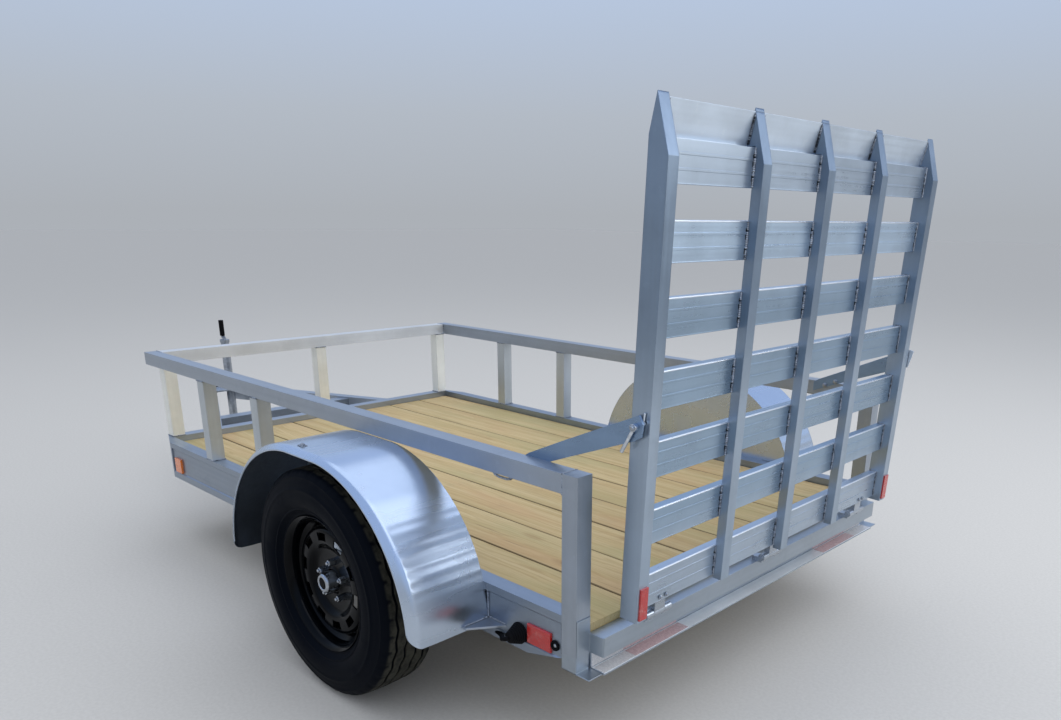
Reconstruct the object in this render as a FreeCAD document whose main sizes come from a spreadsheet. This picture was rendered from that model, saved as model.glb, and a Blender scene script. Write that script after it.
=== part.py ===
# Open single-axle utility trailer with a plank deck, tube rails and an upright ramp gate.
# Millimetres. X runs forwards to the coupler, Y to the left, Z up; Z = 0 is the ground.
# The drawing measures X from the rear face of the rear posts; each finished piece is then moved
# back by origin_x, so that the part's own origin lies at the middle of its length. Y = 0 is the
# middle of the bed.
import FreeCAD
import Part
import math
import os

os.makedirs("parts", exist_ok=True)
doc = FreeCAD.newDocument("UtilityTrailer")

# Driving sizes
SIZES = [
    # name, value, meaning
    ("origin_x", 1822.0, "where the origin of the whole part lies, at the middle of its length"),
    ("bed_length", 2504.0, "outside length of the rail loop"),
    ("bed_width", 1572.0, "outside width of the bed frame and rails"),
    ("tube", 50.0, "square tube of the rails and posts"),
    ("tube_wall", 3.0, "wall of the rail and post tube"),
    ("rail_loop_top", 800.0, "height of the top of the rail loop"),
    ("frame_top", 436.0, "height of the top of the bed frame"),
    ("frame_depth", 150.0, "depth of the side rails of the bed"),
    ("frame_web", 5.0, "web and flange thickness of the side rails"),
    ("frame_step", 4.0, "how far the web stands back from the two outer bands"),
    ("corner_cut", 134.0, "length of the cut on the front corners of the bed"),
    ("deck_below_lip", 24.0, "how far the boards lie below the frame lip"),
    ("board_thickness", 38.0, "thickness of a deck board"),
    ("board_gap", 4.0, "gap between deck boards"),
    ("deck_boards_count", 8.0, "number of deck boards"),
    ("second_post_x", 1965.0, "rear face of the side post behind the front corner"),
    ("third_post_x", 1540.0, "rear face of the side post in front of the fender"),
    ("rear_post_bottom", 334.0, "height of the foot of the rear posts"),
    ("sill_height", 53.0, "height of the hollow part of the rear sill"),
    ("sill_top", 390.0, "height of the top of the rear sill"),
    ("sill_depth", 48.0, "how far the rear sill stands behind the posts"),
    ("sill_flange_z", 288.0, "height of the underside of the sill flange"),
    ("cross_height", 80.0, "height of the cross members"),
    ("cross_width", 50.0, "width of the cross members"),
    ("wheel_x", 820.0, "wheel centre along the bed"),
    ("tyre_radius", 344.0, "outside radius of the tyre"),
    ("tyre_width", 200.0, "width of the tyre over the sidewalls"),
    ("wheel_out", 138.0, "wheel centre plane outwards from the side of the bed"),
    ("rim_radius", 206.0, "outside radius of the rim flange"),
    ("rim_seat", 190.0, "radius of the seat that the tyre bead rests on"),
    ("rim_width", 154.0, "width of the rim over its flanges"),
    ("cap_radius", 31.0, "radius of the grease cap in the middle of the hub"),
    ("bearing_gap", 1.0, "clearance of the hub round the spindle, in place of the bearings"),
    ("fender_half", 490.0, "half length of the fender"),
    ("fender_top", 748.0, "height of the top of the fender"),
    ("fender_bottom", 320.0, "height of the lower edge of the fender"),
    ("fender_shoulder", 420.0, "radius of the fender shoulders"),
    ("fender_width", 248.0, "width of the fender"),
    ("fender_sheet", 3.0, "thickness of the fender sheet"),
    ("fender_edge", 44.0, "radius of the rounded outer edge of the fender"),
    ("fender_opening", 430.0, "radius of the wheel opening in the outer face"),
    ("opening_z", 300.0, "height of the centre of the wheel opening"),
    ("axle_tube", 64.0, "square tube of the torsion axle"),
    ("axle_drop", 94.0, "how far the axle tube lies below the spindle"),
    ("arm_reach", 120.0, "how far the torsion arm trails behind the tube"),
    ("arm_thickness", 22.0, "thickness of a torsion arm"),
    ("spindle_radius", 20.0, "radius of the spindle"),
    ("gate_front_x", -51.3, "front plane of the gate at its foot"),
    ("gate_foot_z", 431.0, "height of the foot of the gate uprights"),
    ("gate_lean", 2.1, "angle by which the raised gate leans back, in degrees"),
    ("gate_width", 1368.0, "outside width of the gate"),
    ("gate_depth", 54.0, "depth of the outer uprights"),
    ("upright_width", 36.0, "width of a gate upright"),
    ("plank_depth", 27.0, "depth of a gate plank"),
    ("plank_height", 88.0, "height of a gate plank"),
    ("gate_tip", 1176.0, "height of the tips above the foot of the gate"),
    ("gate_shoulder", 1096.0, "height where the front bevel of the tips starts"),
    ("gate_rear_bevel", 1057.0, "height where the rear bevel of the tips starts"),
    ("top_plank_gauge", 4.0, "thickness of the plank between the tips"),
    ("top_plank_drop", 8.0, "how far the plank between the tips ends below them"),
    ("tip_back", 16.0, "how far the tips stand behind the front plane"),
    ("inner_upright_y", 310.0, "inner uprights beside the middle one, from the middle"),
    ("reflector_width", 28.0, "width of a reflector at the foot of the gate"),
    ("reflector_height", 84.0, "height of a reflector at the foot of the gate"),
    ("reflector_gauge", 5.0, "thickness of a reflector at the foot of the gate"),
    ("latch_gap", 10.0, "clearance between the latch bars and the gate"),
    ("hinge_x", -62.0, "hinge axis of the gate behind the posts"),
    ("hinge_z", 406.0, "height of the hinge axis of the gate"),
    ("knuckle_radius", 11.0, "radius of a hinge knuckle"),
    ("tongue_half", 526.0, "where the tongue tubes leave the front sill, from the middle"),
    ("tongue_width", 50.0, "width of a tongue tube"),
    ("tongue_height", 76.0, "height of a tongue tube"),
    ("tongue_bottom", 322.0, "height of the underside of the tongue tubes"),
    ("tongue_reach", 1096.0, "how far the nose of the tongue tubes stands in front of the bed"),
    ("tongue_near", 62.0, "middle of a tongue tube at the nose, from the middle plane"),
    ("tongue_cross_reach", 332.0, "how far the rear face of the cross box stands in front of the bed"),
    ("tongue_cross_height", 120.0, "height of the cross box of the tongue"),
    ("jack_back", 109.0, "jack axis behind the nose of the tongue"),
    ("jack_radius", 22.0, "radius of the jack tube"),
    ("jack_top", 662.0, "height of the top of the jack tube"),
    ("crank_arm", 110.0, "radius of the jack crank"),
]
VALUE = {row[0]: row[1] for row in SIZES}
sheet = doc.addObject("Spreadsheet::Sheet", "Sizes")
for row_number, (name, value, meaning) in enumerate(SIZES, start=1):
    sheet.set("A%d" % row_number, name)
    sheet.set("B%d" % row_number, repr(value))
    sheet.set("C%d" % row_number, meaning)
    sheet.setAlias("B%d" % row_number, name)
doc.recompute()


def size(name):
    """A driving size, read from the sheet."""
    return float(sheet.get(name))


def expression(text):
    """Writes the size names in a formula as references to the sheet."""
    words = []
    for word in text.split():
        words.append("Sizes." + word if word in VALUE else word)
    return " ".join(words)


FORMULAS = {}


def bind(item, prop, text):
    item.setExpression(prop, expression(text))
    FORMULAS[(item.Name, prop)] = text


def box(name, length, width, height, x, y, z):
    """A block with its sizes and its low corner given as formulas."""
    item = doc.addObject("Part::Box", name)
    for prop, text in (("Length", length), ("Width", width), ("Height", height)):
        bind(item, prop, text)
    for prop, text in (("x", x), ("y", y), ("z", z)):
        bind(item, "Placement.Base." + prop, text)
    return item


def cut(name, base, tool):
    item = doc.addObject("Part::Cut", name)
    item.Base = base
    item.Tool = tool
    return item


def fuse(name, items):
    item = doc.addObject("Part::MultiFuse", name)
    item.Shapes = items
    return item


def common(name, items):
    item = doc.addObject("Part::MultiCommon", name)
    item.Shapes = items
    return item


def group(name, items):
    """Several separate solids of one named piece."""
    item = doc.addObject("Part::Compound", name)
    item.Links = items
    return item


def cylinder(name, radius, height, x, y, z, axis):
    """A cylinder from a point along X, Y or Z, sizes given as formulas."""
    item = doc.addObject("Part::Cylinder", name)
    bind(item, "Radius", radius)
    bind(item, "Height", height)
    turns = {"x": (FreeCAD.Vector(0, 1, 0), 90), "y": (FreeCAD.Vector(1, 0, 0), -90)}
    if axis in turns:
        item.Placement.Rotation = FreeCAD.Rotation(*turns[axis])
    for prop, text in (("x", x), ("y", y), ("z", z)):
        bind(item, "Placement.Base." + prop, text)
    return item


PIECES = []


def piece(item, label):
    """Marks a finished sub-part, gives it its name and moves it to the part's own origin."""
    item.Label = label
    formula = FORMULAS.get((item.Name, "Placement.Base.x"))
    if formula is None:
        item.Placement.Base.x = item.Placement.Base.x - size("origin_x")
    else:
        bind(item, "Placement.Base.x", formula + " - origin_x")
    PIECES.append(item)
    return item


def origin_plane(body, role):
    for feature in body.Origin.OriginFeatures:
        if feature.Role == role:
            return feature
    return None


def sketch(body, name, role):
    item = body.newObject("Sketcher::SketchObject", name)
    item.AttachmentSupport = [(origin_plane(body, role), "")]
    item.MapMode = "FlatFace"
    return item


def outline(item, points):
    """A closed outline of straight lines through the points."""
    import Sketcher
    first = item.GeometryCount
    count = len(points)
    for index in range(count):
        here = FreeCAD.Vector(points[index][0], points[index][1], 0)
        after = points[(index + 1) % count]
        there = FreeCAD.Vector(after[0], after[1], 0)
        item.addGeometry(Part.LineSegment(here, there), False)
    for index in range(count):
        follower = first + (index + 1) % count
        item.addConstraint(Sketcher.Constraint("Coincident", first + index, 2, follower, 1))


def span(item, edge, end, direction, text):
    """Holds one corner of an outline at a distance from the sketch origin, by formula."""
    import Sketcher
    kind = "DistanceX" if direction == "x" else "DistanceY"
    point = item.getPoint(edge, end)
    value = point.x if direction == "x" else point.y
    number = item.addConstraint(Sketcher.Constraint(kind, -1, 1, edge, end, value))
    bind(item, "Constraints[%d]" % number, text)


def pad(body, name, profile, length, both=False, reverse=False):
    item = body.newObject("PartDesign::Pad", name)
    item.Profile = profile
    item.Midplane = both
    item.Reversed = reverse
    bind(item, "Length", length)
    profile.Visibility = False
    return item


def revolve(body, name, profile, axis):
    """Turns a profile fully round one of the sketch axes."""
    item = body.newObject("PartDesign::Revolution", name)
    item.Profile = profile
    item.ReferenceAxis = (profile, [axis])
    item.Angle = 360
    return item


def body_of(name):
    return doc.addObject("PartDesign::Body", name)


# Tubes along one axis, open at both ends, joined by their walls
def tube_x(name, length, x, y, z, width="tube", height="tube"):
    outer = box(name + "_outer", length, width, height, x, y, z)
    inner = box(name + "_inner", length + " + 2", width + " - 2 * tube_wall",
                height + " - 2 * tube_wall", x + " - 1", y + " + tube_wall", z + " + tube_wall")
    return cut(name, outer, inner)


def tube_y(name, width, x, y, z, length="tube", height="tube"):
    outer = box(name + "_outer", length, width, height, x, y, z)
    inner = box(name + "_inner", length + " - 2 * tube_wall", width + " + 2",
                height + " - 2 * tube_wall", x + " + tube_wall", y + " - 1", z + " + tube_wall")
    return cut(name, outer, inner)


def tube_z(name, height, x, y, z, length="tube", width="tube"):
    outer = box(name + "_outer", length, width, height, x, y, z)
    inner = box(name + "_inner", length + " - 2 * tube_wall", width + " - 2 * tube_wall",
                height + " + 2", x + " + tube_wall", y + " + tube_wall", z + " - 1")
    return cut(name, outer, inner)


SIDES = (
    # name, sign of Y
    ("left", 1),
    ("right", -1),
)


# Bed frame
def side_rail(side, sign):
    """Deep rail: outer web between two bands, top and bottom flange, short leg at the deck."""
    half = size("bed_width") / 2
    top = size("frame_top")
    low = top - size("frame_depth")
    web = size("frame_web")
    step = size("frame_step")
    inner = half - size("tube")
    section = [
        (half, top),
        (half, top - 22),
        (half - step, top - 26),
        (half - step, low + 30),
        (half, low + 26),
        (half, low),
        (inner, low),
        (inner, low + web),
        (half - step - web, low + web),
        (half - step - web, top - web),
        (inner + web, top - web),
        (inner + web, top - 60),
        (inner, top - 60),
        (inner, top),
    ]
    body = body_of("SideRail_" + side)
    profile = sketch(body, "SideRailSection_" + side, "YZ_Plane")
    outline(profile, [(sign * y, z) for y, z in section])
    span(profile, 0, 1, "y", "frame_top")
    pad(body, "SideRailLength_" + side, profile, "bed_length - tube")
    bind(body, "Placement.Base.x", "tube")
    length = size("bed_length") - size("tube")
    # The foot of the rear end is cut up at a slant
    slant = sketch(body, "RearSlant_" + side, "XZ_Plane")
    outline(slant, [(-5, low - 5), (124, low - 5), (124, low), (0, low + 30), (-5, low + 30)])
    pocket = body.newObject("PartDesign::Pocket", "RearSlantCut_" + side)
    pocket.Profile = slant
    pocket.Type = "ThroughAll"
    pocket.Midplane = True
    # The front corner is cut off in plan, back to the corner post
    corner = sketch(body, "CornerCut_" + side, "XY_Plane")
    reach = size("corner_cut")
    outline(corner, [
        (length - reach, sign * (half + 5)),
        (length - reach, sign * half),
        (length, sign * (inner + 2)),
        (length + 5, sign * (inner + 2)),
        (length + 5, sign * (half + 5)),
    ])
    pocket = body.newObject("PartDesign::Pocket", "CornerCutOff_" + side)
    pocket.Profile = corner
    pocket.Type = "ThroughAll"
    pocket.Midplane = True
    # A plate closes the cut corner
    plate = body_of("CornerPlate_" + side)
    profile = sketch(plate, "CornerPlatePlan_" + side, "XY_Plane")
    outline(profile, [
        (length - reach, sign * half),
        (length, sign * (inner + 2)),
        (length - 8, sign * (inner + 2)),
        (length - reach - 8, sign * (half - step)),
        (length - reach - 8, sign * half),
    ])
    pad(plate, "CornerPlateHeight_" + side, profile, "frame_depth")
    bind(plate, "Placement.Base.x", "tube")
    bind(plate, "Placement.Base.z", "frame_top - frame_depth")
    piece(fuse("SideRailClosed_" + side, [body, plate]), "side_rail_" + side)


for side, sign in SIDES:
    side_rail(side, sign)

INSIDE = "bed_width - 2 * tube"
piece(tube_y("FrontSill", INSIDE, "bed_length - tube", "tube - bed_width / 2",
             "frame_top - frame_depth", height="frame_depth"), "front_sill")


def rear_sill():
    """Extruded sill behind the posts: hollow top, recessed web and a lower flange."""
    top = size("sill_top")
    depth = size("sill_depth")
    low = top - size("sill_height")
    flange = size("sill_flange_z")
    wall = size("tube_wall") + 1
    body = body_of("RearSill")
    profile = sketch(body, "RearSillSection", "XZ_Plane")
    outline(profile, [(0, top), (-depth, top), (-depth, low), (-wall, low), (-wall, flange + wall),
                      (-depth - 2, flange + wall), (-depth - 2, flange), (0, flange)])
    outline(profile, [(-wall, top - wall), (-depth + wall, top - wall),
                      (-depth + wall, low + wall), (-wall, low + wall)])
    span(profile, 0, 1, "y", "sill_top")
    pad(body, "RearSillLength", profile, "bed_width - 2 * tube", both=True)
    piece(body, "rear_sill")


rear_sill()

DECK_TOP = "frame_top - deck_below_lip"
DECK_LOW = "frame_top - deck_below_lip - board_thickness"


def cross_members():
    """Beams under the deck, resting on the lower flanges of the side rails."""
    beams = []
    wide = "bed_width - 2 * frame_step - 2 * frame_web"
    wide_start = "frame_step + frame_web - bed_width / 2"
    rows = (
        # name, rear face along the bed, width, right end
        ("Rear", "0", INSIDE, "tube - bed_width / 2"),
        ("Second", "bed_length * 0.24", wide, wide_start),
        ("Third", "bed_length * 0.48", wide, wide_start),
        ("Front", "bed_length * 0.74", wide, wide_start),
    )
    low = "frame_top - deck_below_lip - board_thickness - cross_height"
    for name, x, width, start in rows:
        beams.append(tube_y("Cross" + name, width, x, start, low,
                            length="cross_width", height="cross_height"))
    piece(group("CrossMembers", beams), "cross_members")


cross_members()


def deck():
    """Boards laid lengthways side by side."""
    boards = []
    count = int(size("deck_boards_count"))
    pitch = "( bed_width - 2 * tube ) / deck_boards_count"
    for index in range(count):
        low = "tube - bed_width / 2 + %d * %s + board_gap / 2" % (index, pitch)
        boards.append(box("Board%d" % (index + 1), "bed_length - tube", pitch + " - board_gap",
                          "board_thickness", "0", low, DECK_LOW))
    piece(group("DeckBoards", boards), "deck_boards")


deck()

# Rail loop and posts
LOOP_LOW = "rail_loop_top - tube"
POST_HEIGHT = "rail_loop_top - tube - frame_top"
for side, sign in SIDES:
    y = "bed_width / 2 - tube" if sign > 0 else "0 - bed_width / 2"
    rail = tube_x("TopRail_" + side, "bed_length - tube", "tube", y, LOOP_LOW)
    cap = box("TopRailCap_" + side, "tube_wall", "tube - tube_wall", "tube - tube_wall",
              "bed_length - tube_wall", y + " + tube_wall / 2", LOOP_LOW + " + tube_wall / 2")
    piece(fuse("TopRailCapped_" + side, [rail, cap]), "top_rail_" + side)
    posts = []
    for name, x in (("Second", "second_post_x"), ("Third", "third_post_x")):
        posts.append(tube_z(name + "Post_" + side, POST_HEIGHT, x, y, "frame_top"))
    piece(group("SidePosts_" + side, posts), "side_posts_" + side)
    post = tube_z("RearPost_" + side, "rail_loop_top - rear_post_bottom", "0", y, "rear_post_bottom")
    cap = box("RearPostCap_" + side, "tube - tube_wall", "tube - tube_wall", "tube_wall",
              "tube_wall / 2", y + " + tube_wall / 2", "rail_loop_top - tube_wall")
    piece(fuse("RearPostCapped_" + side, [post, cap]), "rear_post_" + side)

piece(tube_y("TopRailFront", INSIDE, "bed_length - tube", "tube - bed_width / 2", LOOP_LOW),
      "top_rail_front")
front_posts = []
for name, y in (("FrontPostLeft", "bed_width / 2 - 2 * tube"), ("FrontPostMiddle", "0 - tube / 2"),
                ("FrontPostRight", "tube - bed_width / 2")):
    front_posts.append(tube_z(name, POST_HEIGHT, "bed_length - tube", y, "frame_top"))
piece(group("FrontPosts", front_posts), "front_posts")


def curve(item, parts):
    """A closed outline of lines and arcs, each starting where the one before it ends."""
    import Sketcher
    ends = []
    for kind, data in parts:
        if kind == "line":
            (x1, y1), (x2, y2) = data
            number = item.addGeometry(Part.LineSegment(FreeCAD.Vector(x1, y1, 0),
                                                       FreeCAD.Vector(x2, y2, 0)), False)
            ends.append((number, 1, 2))
        else:
            x, y, radius, start, stop = data
            ring = Part.Circle(FreeCAD.Vector(x, y, 0), FreeCAD.Vector(0, 0, 1), radius)
            low, high = min(start, stop), max(start, stop)
            number = item.addGeometry(Part.ArcOfCircle(ring, math.radians(low), math.radians(high)),
                                      False)
            ends.append((number, 1, 2) if start < stop else (number, 2, 1))
    for index, (number, first, last) in enumerate(ends):
        follower = ends[(index + 1) % len(ends)]
        item.addConstraint(Sketcher.Constraint("Coincident", number, last, follower[0], follower[1]))


def arch(half, bottom, top, radius):
    """The fender profile: upright legs, round shoulders and a flat crown."""
    flat = half - radius
    spring = top - radius
    return [
        ("line", ((half, bottom), (half, spring))),
        ("arc", (flat, spring, radius, 0, 90)),
        ("line", ((flat, top), (-flat, top))),
        ("arc", (-flat, spring, radius, 90, 180)),
        ("line", ((-half, spring), (-half, bottom))),
        ("line", ((-half, bottom), (half, bottom))),
    ]


def arch_block(name, half, bottom, top, radius, width, rounding, sign):
    """The fender profile as a block from the bed outwards, its outer edge rounded."""
    body = body_of(name)
    profile = sketch(body, name + "Profile", "XZ_Plane")
    curve(profile, arch(half, bottom, top, radius))
    block = pad(body, name + "Width", profile, width, reverse=(sign > 0))
    doc.recompute()
    far = max(abs(v.Y) for v in block.Shape.Vertexes)
    names = []
    for number, edge in enumerate(block.Shape.Edges, start=1):
        outside = all(abs(abs(v.Y) - far) < 0.01 for v in edge.Vertexes)
        foot = all(abs(v.Z - bottom) < 0.01 for v in edge.Vertexes)
        if outside and not foot:
            names.append("Edge%d" % number)
    edge_round = body.newObject("PartDesign::Fillet", name + "Edge")
    edge_round.Base = (block, names)
    edge_round.Radius = rounding
    return body


def fender(side, sign):
    """Rolled sheet with a rounded outer edge, a wheel opening and a closed inner panel."""
    half = size("fender_half")
    bottom = size("fender_bottom")
    top = size("fender_top")
    radius = size("fender_shoulder")
    sheet_gauge = size("fender_sheet")
    edge = size("fender_edge")
    outer = arch_block("FenderOuter_" + side, half, bottom, top, radius, "fender_width", edge, sign)
    inner = arch_block("FenderInner_" + side, half - sheet_gauge, bottom - 40, top - sheet_gauge,
                       radius - sheet_gauge, "fender_width - 2 * fender_sheet",
                       edge - sheet_gauge, sign)
    opening = body_of("FenderOpening_" + side)
    profile = sketch(opening, "OpeningProfile_" + side, "XZ_Plane")
    reach = size("fender_opening")
    centre = size("opening_z")
    curve(profile, [
        ("arc", (0, centre, reach, 0, 180)),
        ("line", ((-reach, centre), (-reach, bottom - 60))),
        ("line", ((-reach, bottom - 60), (reach, bottom - 60))),
        ("line", ((reach, bottom - 60), (reach, centre))),
    ])
    pad(opening, "OpeningDepth_" + side, profile, "fender_width", reverse=(sign > 0))
    wall = size("bed_width") / 2
    outer.Placement.Base = FreeCAD.Vector(0, sign * wall, 0)
    inner.Placement.Base = FreeCAD.Vector(0, sign * (wall + sheet_gauge), 0)
    opening.Placement.Base = FreeCAD.Vector(0, sign * (wall + 60), 0)
    shell = cut("FenderShell_" + side, outer, inner)
    whole = cut("Fender_" + side, shell, opening)
    bind(whole, "Placement.Base.x", "wheel_x")
    piece(whole, "fender_" + side)
    for name, end in (("Rear", -1), ("Front", 1)):
        bracket = body_of("FenderBracket%s_%s" % (name, side))
        profile = sketch(bracket, "BracketProfile%s_%s" % (name, side), "XY_Plane")
        face = end * half
        web = wall - size("frame_step")
        outline(profile, [(face, sign * web), (face + end * 72, sign * web),
                          (face + end * 10, sign * (wall + 84)), (face, sign * (wall + 84))])
        pad(bracket, "BracketGauge%s_%s" % (name, side), profile, "2 * fender_sheet")
        bind(bracket, "Placement.Base.x", "wheel_x")
        bind(bracket, "Placement.Base.z", "fender_bottom + 8")
        FENDER_BRACKETS.append(bracket)


FENDER_BRACKETS = []
for side, sign in SIDES:
    fender(side, sign)
piece(group("FenderBrackets", FENDER_BRACKETS), "fender_brackets")


# Axle: square tube under the side rails, trailing arms and spindles
def axle():
    piece(tube_y("AxleTube", "bed_width", "wheel_x + arm_reach - axle_tube / 2", "0 - bed_width / 2",
                 "tyre_radius - axle_drop - axle_tube / 2", length="axle_tube", height="axle_tube"),
          "axle_tube")
    seats = []
    for side, sign in SIDES:
        y = "bed_width / 2 - tube" if sign > 0 else "0 - bed_width / 2"
        plate = box("AxleSeat_" + side, "axle_tube + 90", "tube",
                    "frame_top - frame_depth - tyre_radius + axle_drop - axle_tube / 2",
                    "wheel_x + arm_reach - axle_tube / 2 - 45", y,
                    "tyre_radius - axle_drop + axle_tube / 2")
        seats.append(plate)
        arm = body_of("TorsionArm_" + side)
        profile = sketch(arm, "ArmProfile_" + side, "XZ_Plane")
        reach = size("arm_reach")
        drop = size("axle_drop")
        length = math.hypot(reach, drop)
        tilt = math.degrees(math.atan2(drop, -reach))
        curve(profile, [
            ("arc", (0, 0, 34.0, tilt + 90, tilt + 270)),
            ("line", ((34.0 * math.cos(math.radians(tilt + 270)),
                       34.0 * math.sin(math.radians(tilt + 270))),
                      (-reach + 26.0 * math.cos(math.radians(tilt - 90)),
                       drop + 26.0 * math.sin(math.radians(tilt - 90))))),
            ("arc", (-reach, drop, 26.0, tilt - 90, tilt + 90)),
            ("line", ((-reach + 26.0 * math.cos(math.radians(tilt + 90)),
                       drop + 26.0 * math.sin(math.radians(tilt + 90))),
                      (34.0 * math.cos(math.radians(tilt + 90)),
                       34.0 * math.sin(math.radians(tilt + 90))))),
        ])
        pad(arm, "ArmThickness_" + side, profile, "arm_thickness", reverse=(sign > 0))
        bind(arm, "Placement.Base.x", "wheel_x + arm_reach")
        start = "bed_width / 2 + 4" if sign > 0 else "0 - bed_width / 2 - 4"
        bind(arm, "Placement.Base.y", start)
        bind(arm, "Placement.Base.z", "tyre_radius - axle_drop")
        y = "bed_width / 2" if sign > 0 else "0 - bed_width / 2 - 4"
        spacer = cylinder("ArmBoss_" + side, "axle_tube / 2 + 2", "4", "wheel_x + arm_reach", y,
                          "tyre_radius - axle_drop", "y")
        y = "bed_width / 2 + 4 + arm_thickness" if sign > 0 else "0 - bed_width / 2 - wheel_out - 6"
        pin = cylinder("Spindle_" + side, "spindle_radius", "wheel_out + 2 - arm_thickness",
                       "wheel_x", y, "tyre_radius", "y")
        piece(fuse("TorsionArmWhole_" + side, [arm, spacer, pin]), "torsion_arm_" + side)
    piece(group("AxleSeats", seats), "axle_seats")


axle()


# Wheels: profiles are turned about the local Y axis, +Y outwards
def mirrored(points, sign):
    """The points of a wheel section with their distance outwards turned to this side's Y."""
    return [(radius, sign * out) for radius, out in points]


def wheel(side, sign):
    radius = size("tyre_radius")
    half = size("tyre_width") / 2
    seat = size("rim_seat")
    flange = size("rim_radius")
    rim_half = size("rim_width") / 2
    lip = 6.0
    bead = rim_half - 16.0
    flare = bead + (half - bead) * (flange - seat) / (250.0 - seat) + 0.3
    shoulder = [
        # radius, distance from the wheel's middle plane
        (seat, bead),
        (250.0, half),
        (radius, half - 26),
    ]
    tyre = body_of("Tyre_" + side)
    profile = sketch(tyre, "TyreSection_" + side, "XY_Plane")
    outline(profile, shoulder + [(r, -y) for r, y in reversed(shoulder)])
    revolve(tyre, "TyreRound_" + side, profile, "V_Axis")
    # The rim is one section: barrel with two flanges and a dish with a flat ring for the windows
    gauge = 4.0
    barrel = seat - gauge
    dish = 46.0
    bore = size("cap_radius") + 3.0
    rim = body_of("Rim_" + side)
    profile = sketch(rim, "RimSection_" + side, "XY_Plane")
    outline(profile, mirrored([
        # radius, distance outwards from the wheel's middle plane
        (barrel, rim_half - lip),
        (barrel, 10.0),
        (160.0, dish),
        (112.0, dish),
        (86.0, dish - 18),
        (bore, dish - 18),
        (bore, dish - 23),
        (88.0, dish - 23),
        (114.0, dish - 5),
        (158.0, dish - 5),
        (barrel, 3.0),
        (barrel, lip - rim_half),
        (flange, -rim_half),
        (flange, -flare),
        (seat, -bead),
        (seat, bead),
        (flange, flare),
        (flange, rim_half),
    ], sign))
    revolve(rim, "RimRound_" + side, profile, "V_Axis")
    window = sketch(rim, "RimWindow_" + side, "XZ_Plane")
    outline(window, [(122, -10), (128, -19), (144, -19), (150, -10), (150, 10), (144, 19),
                     (128, 19), (122, 10)])
    hole = rim.newObject("PartDesign::Pocket", "RimWindowCut_" + side)
    hole.Profile = window
    hole.Type = "ThroughAll"
    hole.Midplane = True
    windows = rim.newObject("PartDesign::PolarPattern", "RimWindows_" + side)
    windows.Originals = [hole]
    windows.Axis = (origin_plane(rim, "Y_Axis"), [""])
    windows.Angle = 360
    windows.Occurrences = 10
    rim.Tip = windows
    # The hub turns on the spindle; its flange backs the rim and its cap stands out through the bore
    hub = body_of("Hub_" + side)
    profile = sketch(hub, "HubSection_" + side, "XY_Plane")
    inside = size("spindle_radius") + size("bearing_gap")
    face = dish - 23
    cap = size("cap_radius")
    outline(profile, mirrored([
        (inside, -38.0),
        (48.0, -38.0),
        (68.0, 8.0),
        (68.0, face),
        (cap, face),
        (cap, 66.0),
        (cap - 6, 71.0),
        (0, 71.0),
        (0, 8.0),
        (inside, 8.0),
    ], sign))
    revolve(hub, "HubRound_" + side, profile, "V_Axis")
    nuts = []
    for index in range(5):
        angle = math.radians(18 + 72 * index)
        nut = doc.addObject("Part::Prism", "Nut%d_%s" % (index + 1, side))
        nut.Polygon = 6
        nut.Circumradius = 11.0
        nut.Height = 20.0
        nut.Placement = FreeCAD.Placement(
            FreeCAD.Vector(57 * math.cos(angle), sign * (dish - 18), 57 * math.sin(angle)),
            FreeCAD.Rotation(FreeCAD.Vector(1, 0, 0), -90 * sign))
        nuts.append(nut)
    hub_set = group("HubSet_" + side, [hub] + nuts)
    wheel_y = "bed_width / 2 + wheel_out" if sign > 0 else "0 - bed_width / 2 - wheel_out"
    for item, label in ((tyre, "tyre_"), (rim, "rim_"), (hub_set, "hub_")):
        bind(item, "Placement.Base.x", "wheel_x")
        bind(item, "Placement.Base.y", wheel_y)
        bind(item, "Placement.Base.z", "tyre_radius")
        piece(item, label + side)


for side, sign in SIDES:
    wheel(side, sign)


# Gate, drawn standing straight in its own frame and then leant back
def gate_place(item):
    """Stands a piece of the gate on its foot line with the gate's lean."""
    lean = FreeCAD.Rotation(FreeCAD.Vector(0, 1, 0), -size("gate_lean"))
    item.Placement = FreeCAD.Placement(
        FreeCAD.Vector(size("gate_front_x"), 0, size("gate_foot_z")), lean)
    return item


def gate_bar(name, points, width, y):
    """A bar with its outline in the side view and its middle at y."""
    body = body_of(name)
    profile = sketch(body, name + "Profile", "XZ_Plane")
    outline(profile, points)
    pad(body, name + "Width", profile, width, both=True)
    body.Placement.Base = FreeCAD.Vector(0, y, 0)
    return body


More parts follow.
